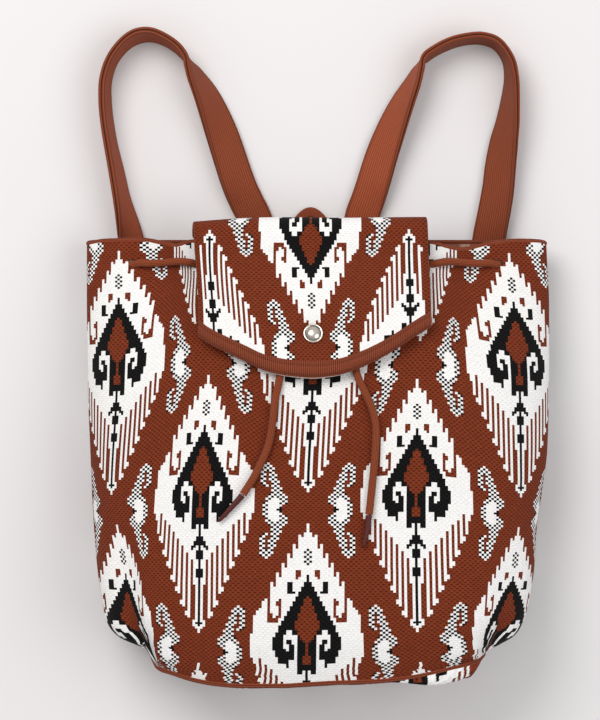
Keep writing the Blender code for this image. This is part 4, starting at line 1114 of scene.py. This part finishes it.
# pale facing behind the flap
s_rows_l = np.concatenate([np.linspace(0.06, 1, 24, endpoint=False), np.linspace(1, 2, 40)])
la, ls = np.meshgrid(np.linspace(-0.985, 0.985, 60), s_rows_l, indexing="xy")
lu = flap_under(la, ls, 0.9 - 1.5 * bell(flap_under(la, ls, 0.0)[..., 0] + 8.0, 42.0))
ln_ = oriented(grid_normals(lu), lu, np.array([0.0, 0.35, 1.0]))
lwave = flap_wave(lu) * smooth(ls / 0.5)
face_top = lu + ln_ * (0.9 + lwave)[..., None]
face_low = lu + ln_ * (0.0 + lwave)[..., None]
luv = np.stack([lu[..., 0] / 1.1, lu[..., 1] / 1.1], -1)
facing_top = grid_piece("flap_facing_top", face_top[:, ::-1], FACING, None, luv[:, ::-1])
facing_low = grid_piece("flap_facing_low", face_low, FACING, None, luv)
eg, euv = wall_piece("e", face_top[-1], face_low[-1], FACING, away=np.array([0.0, -1.0, 0]))
facing_edge = grid_piece("flap_facing_edge", eg, FACING, None, euv)
sg, suv = wall_piece("s", face_top[:, 0], face_low[:, 0], FACING, away=np.array([-1.0, 0, 0]))
facing_left = grid_piece("flap_facing_left", sg, FACING, None, suv)
sg, suv = wall_piece("s", face_top[:, -1], face_low[:, -1], FACING, away=np.array([1.0, 0, 0]))
facing_right = grid_piece("flap_facing_right", sg[::-1], FACING, None, suv)

# ribbed band along the flap's lower edge
BAND_COLS = 140
ba = np.linspace(-1, 1, BAND_COLS)
rows_b = []
for k in range(9):
    tall = BAND_TALL + 0.3 - (BAND_TALL + 0.3) * k / 8.0
    rows_b.append(flap_under(ba, 2.0 + 0 * ba, tall))
band_u = np.array(rows_b)
bn = oriented(grid_normals(band_u), band_u, np.array([0.0, 0.35, 1.0]))
bw = flap_wave(band_u)
crown_b = np.array([0.0, 0.25, 0.1, 0.55, 0.8, 0.8, 0.7, 0.4, -0.35])
band_top = band_u + bn * (LIFT + 2.35 + crown_b[:, None] + bw)[..., None]
band_low = band_u + bn * (LIFT + 0.0 + bw)[..., None]
seg_b = np.concatenate([[0], np.cumsum(np.linalg.norm(np.diff(band_top[4], axis=0), axis=1))])
buv2 = np.stack([np.broadcast_to(seg_b / 1.5, band_top.shape[:2]), np.broadcast_to((np.arange(9) * 1.25 / 1.5)[:, None], band_top.shape[:2])], -1)
band_piece = grid_piece("flap_band", band_top[:, ::-1], RIB, None, buv2[:, ::-1])
# painted light and shade across the band's rows: lighter on its crown, a painted shade line in its upper part, darker
# where its lower edge turns under
band_piece.data.color_attributes.remove(band_piece.data.color_attributes["tint"])
paint_tint(band_piece.data, np.repeat([1.0, 1.0, 0.80, 1.08, 1.05, 1.0, 0.95, 0.7], BAND_COLS - 1))
band_under = grid_piece("flap_band_under", band_low, RIB, None, buv2)
eg, euv = wall_piece("e", band_top[-1], band_low[-1], RIB, away=np.array([0.0, -1.0, 0]), v_scale=1 / 1.32)
band_edge = grid_piece("flap_band_edge", eg, RIB, None, euv)
eg, euv = wall_piece("e", band_top[0], band_low[0], RIB, away=np.array([0.0, 1.0, 0]), bulge=0.1)
band_back = grid_piece("flap_band_upper", eg[::-1], RIB, None, euv)
eg, euv = wall_piece("e", band_top[:, 0], band_low[:, 0], RIB, away=np.array([-1.0, 0, 0]))
band_l = grid_piece("flap_band_left", eg, RIB, None, euv)
eg, euv = wall_piece("e", band_top[:, -1], band_low[:, -1], RIB, away=np.array([1.0, 0, 0]))
band_r = grid_piece("flap_band_right", eg[::-1], RIB, None, euv)


# ------------------------------------------------------------------ straps
LEFT_LEAN = [(6, 0.92), (7, 0.8), (8, 0.72), (9, 0.8), (10, 0.5), (11, 0.55), (12, 0.6), (13, 0.6), (14, 0.58), (15, 0.58),
             (16, 0.58), (17, 0.6), (18, 0.64), (19, 0.7), (20, 0.8), (21, 0.88), (22, 1.0)]
RIGHT_LEAN = [(7, 0.92), (8, 0.78), (9, 0.72), (10, 0.8), (11, 0.42), (12, 0.45), (13, 0.45), (14, 0.5), (15, 0.55), (16, 0.65),
              (17, 0.78), (18, 0.92), (19, 1.0)]


def strap_run(pairs, lean):
    share = dict(lean)
    pairs = [(c + (a - c) * share.get(i, 1.0), d + (b - d) * share.get(i, 1.0), c, d) for i, (a, b, c, d) in enumerate(pairs)]
    run = spline([(a, b, 0, c, d, 0) for a, b, c, d in pairs], 8)
    low, high = run[:, 0:3].copy(), run[:, 3:6].copy()
    span = np.hypot(high[:, 0] - low[:, 0], high[:, 1] - low[:, 1])
    flat = np.clip(span / STRAP_WIDE, 0, 1)
    y_mid = (low[:, 1] + high[:, 1]) / 2
    rise = np.sqrt(np.maximum(0, STRAP_WIDE ** 2 - span ** 2))
    upper = np.arange(len(run)) < len(run) * 0.3
    rise = rise * np.where(upper, smooth((y_mid - 96.0) / 32.0), smooth((y_mid - 45.0) / 75.0))
    low[:, 2] = STRAP_THICK / 2 * flat
    high[:, 2] = low[:, 2] + rise
    return low, high


def strap_piece(name, pairs, lean):
    low, high = strap_run(pairs, lean)
    mid = (low + high) / 2
    t, w, n = run_frames(mid, high - low)
    half = np.linalg.norm(high - low, axis=1) / 2
    h = STRAP_THICK / 2
    out = []
    for i in range(len(mid)):
        a = half[i]
        prof = []
        # lower layer, a groove between the layers on each edge, upper layer
        for du, dn in ((-a + 0.9, -h), (-a + 0.25, -h + 0.35), (-a, -h + 1.1), (-a + 0.15, -0.45), (-a + 0.9, 0.0),
                       (-a + 0.15, 0.45), (-a, h - 1.1), (-a + 0.25, h - 0.35), (-a + 0.9, h)):
            prof.append((du, dn))
        for f in np.linspace(-0.86, 0.86, 13):
            line = 0.22 * bell(abs(f) - 0.80, 0.035)
            prof.append((f * a, h - line))
        for du, dn in ((a - 0.9, h), (a - 0.25, h - 0.35), (a, h - 1.1), (a - 0.15, 0.45), (a - 0.9, 0.0),
                       (a - 0.15, -0.45), (a, -h + 1.1), (a - 0.25, -h + 0.35), (a - 0.9, -h)):
            prof.append((du, dn))
        for f in np.linspace(0.86, -0.86, 13):
            line = 0.22 * bell(abs(f) - 0.80, 0.035)
            prof.append((f * a, -h + line))
        out.append(prof)
    # painted shade and light per profile face: dark in the groove between the layers on each edge, darker at the edge
    # corners, the lower layer painted lighter
    edge = [0.8, 1.0, 0.9, 0.28, 0.28, 0.9, 1.0, 0.8]
    tint = edge + [0.62] + [0.95, 1.0, 1.0, 1.0, 1.0, 1.0, 1.0, 1.0, 1.0, 1.0, 1.0, 0.95] + [0.62] + edge
    tint = tint + [0.8] + [1.22, 1.3, 1.3, 1.3, 1.3, 1.3, 1.3, 1.3, 1.3, 1.3, 1.3, 1.22] + [0.8]
    return swept(name, mid, w, n, np.array(out), WEB, 1 / 1.7, 1 / 1.6, smooth_angle=75, tint=tint)


strap_l = strap_piece("strap_left_web", LEFT_STRAP, LEFT_LEAN)
strap_r = strap_piece("strap_right_web", RIGHT_STRAP, RIGHT_LEAN)

# ------------------------------------------------------------------ hanging loop
steps = [(LOOP_X - LOOP_R, 60.0), (LOOP_X - LOOP_R, 68.0), (LOOP_X - LOOP_R, 78.0)]
steps += [(LOOP_X - LOOP_R * math.cos(w) * (1 - 0.34 * math.sin(w)), LOOP_TOP + LOOP_R * math.sin(w)) for w in np.linspace(0, math.pi, 17)]
steps += [(LOOP_X + LOOP_R, 78.0), (LOOP_X + LOOP_R, 68.0), (LOOP_X + LOOP_R, 60.0)]
lp = even_steps(spline([(x, y, 2.1) for x, y in steps], 4), 1.2)
t, w, n = run_frames(lp, np.cross(np.gradient(lp, axis=0), np.array([0.0, 0.0, 1.0])))
loop_prof = []
for k in range(24):
    q = 2 * math.pi * k / 24
    loop_prof.append((3.5 * np.sign(math.cos(q)) * abs(math.cos(q)) ** 0.55, 1.38 * np.sign(math.sin(q)) * abs(math.sin(q)) ** 0.55))
hang = swept("hanging_loop_tape", lp, w, n, loop_prof, WEB, 1 / 0.9, 1 / 1.1)


# ------------------------------------------------------------------ drawstring
OUT = CORD_R + 0.25
IN = -(3.0 + CORD_R + 0.3)


def held_side(holes, sign):
    xo, xm, xi = holes
    run = []

    def put(x, y, off):
        run.append(front_point(np.array([x]), np.array([y]), np.array([off]), off > -1)[0])
    for dx, y, off in ((0.6, 54.6, OUT + 0.1), (0.6, 57.0, OUT - 0.1), (0.3, 59.8, 0.9), (0.8, 62.2, -2.6),
                       (3.4, 63.6, -5.4), (7.4, CORD_Y, IN - 0.2), (12.0, CORD_Y, IN - 0.2)):
        put(xi + sign * dx, y, off)
    for x in np.arange(17.0, abs(xm - xi) - 8.0, 6.0):
        put(xi + sign * x, CORD_Y, IN - 0.2)
    for f in np.linspace(-7.5, 7.5, 7):
        put(xm + sign * f, CORD_Y, IN + (OUT - IN) * float(smooth((f + 7.5) / 15.0)))
    for x in np.arange(12.5, abs(xo - xm) - 9.0, 6.0):
        put(xm + sign * x, CORD_Y + 0.5 * math.sin(x / 9.0), OUT)
    for f in np.linspace(-7.5, 7.5, 7):
        put(xo + sign * f, CORD_Y, OUT + (IN - OUT) * float(smooth((f + 7.5) / 15.0)))
    z_end = run[-1][2]
    x_far = sign * 148.5
    run += [np.array([x_far - sign * 2.6, CORD_Y, z_end - 5.5]), np.array([x_far, CORD_Y, z_end - 10.5]),
            np.array([x_far - sign * 0.4, CORD_Y, 25.0]), np.array([x_far - sign * 4.5, CORD_Y, 19.0]),
            np.array([x_far - sign * 11.0, CORD_Y, 15.6])]
    return run


def cord_piece(name, pts, radius, material=CORD, sides=16, pitch=1.15):
    radii = np.full(len(pts), radius, float) if np.isscalar(radius) else np.asarray(radius, float)
    t = np.gradient(pts, axis=0)
    t /= np.linalg.norm(t, axis=1)[:, None]
    a = np.cross(t[0], [0.0, 0.0, 1.0])
    a /= np.linalg.norm(a)
    wide = []
    for i in range(len(pts)):
        a = a - t[i] * np.dot(a, t[i])
        a = a / np.linalg.norm(a)
        wide.append(a.copy())
    wide = np.array(wide)
    normal = np.cross(t, wide)
    prof = np.stack([np.stack([np.cos(q) * radii, np.sin(q) * radii], -1) for q in np.linspace(0, 2 * math.pi, sides, endpoint=False)], 1)
    around = 2 * math.pi * radii[0]
    return swept(name, pts, wide, normal, prof, material, 14 / around, 1 / pitch, smooth_angle=80)


held = np.array(held_side(HOLES_LEFT, -1) + [np.array([x, CORD_Y, 14.8]) for x in np.linspace(-126, 126, 14)]
                + held_side(HOLES_RIGHT, 1)[::-1])
held = even_steps(spline(held, 6), 1.6)
held_cord = cord_piece("drawstring_held", held, CORD_R)


ends = {}
for side, run, tip in (("left", LEFT_END, LEFT_TIP), ("right", RIGHT_END, RIGHT_TIP)):
    flat = even_steps(spline([(x, y, 0) for x, y in run], 8), 1.6)
    pts = front_point(flat[:, 0], flat[:, 1], np.full(len(flat), CORD_R + 0.35))
    cord = cord_piece("cord_end_" + side, pts, CORD_R)
    flat_t = even_steps(spline([(x, y, 0) for x, y in tip], 6), 0.8)
    s = np.linspace(0, 1, len(flat_t))
    radii = np.interp(s, [0, 0.03, 0.06, 0.5, 0.93, 1.0], [2.25, 2.4, 2.2, 1.85, 1.35, 0.7])
    pts_t = front_point(flat_t[:, 0], flat_t[:, 1], np.full(len(flat_t), CORD_R + 0.35))
    tip_o = cord_piece("cord_tip_cover_" + side, pts_t, radii, TIP, 20)
    ends[side] = (cord, pts, tip_o)

# ------------------------------------------------------------------ snap
seat = front_point(np.array([SNAP_X]), np.array([SNAP_Y]), np.array([0.0]), False)[0]
axis = front_normal(np.array([SNAP_X]), np.array([SNAP_Y]))[0]
snap_under = float(flap_rise(np.array([SNAP_X]), np.array([SNAP_Y]))[0]) * axis[2]
deck = snap_under + 3.4
z2 = deck + 0.15
R = 7.0
cap_profile = [(0, z2 - 0.2), (R - 0.9, z2 - 0.2), (R - 0.25, z2 + 0.1), (R, z2 + 0.55), (R - 0.1, z2 + 1.0), (R - 0.55, z2 + 1.35),
               (R - 1.05, z2 + 1.35), (R - 1.45, z2 + 1.05), (R - 1.7, z2 + 0.95), (R - 2.0, z2 + 1.25), (R - 2.6, z2 + 1.75),
               (R - 3.4, z2 + 2.2), (R - 4.4, z2 + 2.6), (R - 5.4, z2 + 2.82), (R - 6.3, z2 + 2.9), (0, z2 + 2.92)]
# painted reflection and shade on the dome, one value a ring: bright at the rim and top, dark in the groove inside the
# rim and on the lower slope
cap_tint = [0.5, 0.5, 0.55, 0.8, 1.0, 0.9, 0.45, 0.30, 0.35, 0.5, 0.62, 0.8, 0.95, 1.0, 1.0]
cap = turned("snap_cap_dome", cap_profile, seat, axis, METAL, tint=cap_tint)

# ------------------------------------------------------------------ what each piece stands for
bag_pieces = [body_front, body_back, body_in_front, body_in_back, rim_hem, base_vis, base_seam, strap_l, strap_r, hang, held_cord]
flap_pieces = [flap_top, flap_left, flap_right, flap_root, flap_reverse, facing_top, facing_low, facing_edge, facing_left,
               facing_right, band_piece, band_under, band_edge, band_back, band_l, band_r, cap]
for o in bag_pieces + [q for e in ends.values() for q in (e[0], e[2])]:
    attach(o, "bag")
for o in flap_pieces:
    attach(o, "flap")
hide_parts("body_shell")
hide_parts("base_panel")
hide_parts("flap_outer")
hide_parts("flap_lining")
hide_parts("flap_binding")
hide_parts("strap_left")
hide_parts("strap_right")
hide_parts("hanging_loop")
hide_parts("drawstring")
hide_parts("drawstring_left_end")
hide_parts("drawstring_right_end")
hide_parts("cord_tip_left")
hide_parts("cord_tip_right")
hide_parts("snap_cap")
for node in ("snap_socket", "snap_stud", "snap_post"):
    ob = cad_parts[node]
    ob.data.materials.clear()
    ob.data.materials.append(METAL_DULL)

for side in ("left", "right"):
    cord, pts, tip_o = ends[side]
    world = (pts + SHIFT) * 0.001

# ------------------------------------------------------------------ floor, light and camera
bpy.ops.mesh.primitive_plane_add(size=6.0, location=(0, 0, -0.0004))
floor = bpy.context.object
floor.name = "floor"
fl = Nodes("pale_floor")
fl.bsdf.inputs["Base Color"].default_value = (0.70, 0.685, 0.685, 1.0)
fl.bsdf.inputs["Roughness"].default_value = 0.9
fl.bsdf.inputs["Specular IOR Level"].default_value = 0.1
floor.data.materials.append(fl.mat)


def area_light(name, loc, aim, size, power, colour=(1, 1, 1)):
    data = bpy.data.lights.new(name, 'AREA')
    data.shape = 'DISK'
    data.size = size
    data.energy = power
    data.color = colour
    ob = link_object(name, data)
    ob.location = loc
    ob.rotation_mode = 'QUATERNION'
    ob.rotation_quaternion = (Vector(aim) - Vector(loc)).to_track_quat('-Z', 'Y')
    return ob


key = area_light("key", (-0.9, 1.3, 2.0), (0, 0, 0), 1.6, 40, (1.0, 0.985, 0.97))
fill = area_light("fill", (1.7, -0.2, 2.2), (0, 0, 0), 2.2, 24, (0.97, 0.98, 1.0))

world = bpy.data.worlds.new("studio")
bpy.context.scene.world = world
world.use_nodes = True
world.node_tree.nodes["Background"].inputs[0].default_value = (1.0, 0.99, 0.99, 1.0)
world.node_tree.nodes["Background"].inputs[1].default_value = 0.62

cam_data = bpy.data.cameras.new("camera")
cam_data.lens = 208.3
cam_data.sensor_width = 36.0
cam_data.clip_start, cam_data.clip_end = 0.1, 20.0
cam = link_object("camera", cam_data)
cam.location = (-0.0124, -0.0031, 3.0)
cam.rotation_euler = (0, 0, 0)
bpy.context.scene.camera = cam
bpy.context.scene.view_settings.view_transform = 'Standard'
bpy.context.scene.view_settings.exposure = 0.0
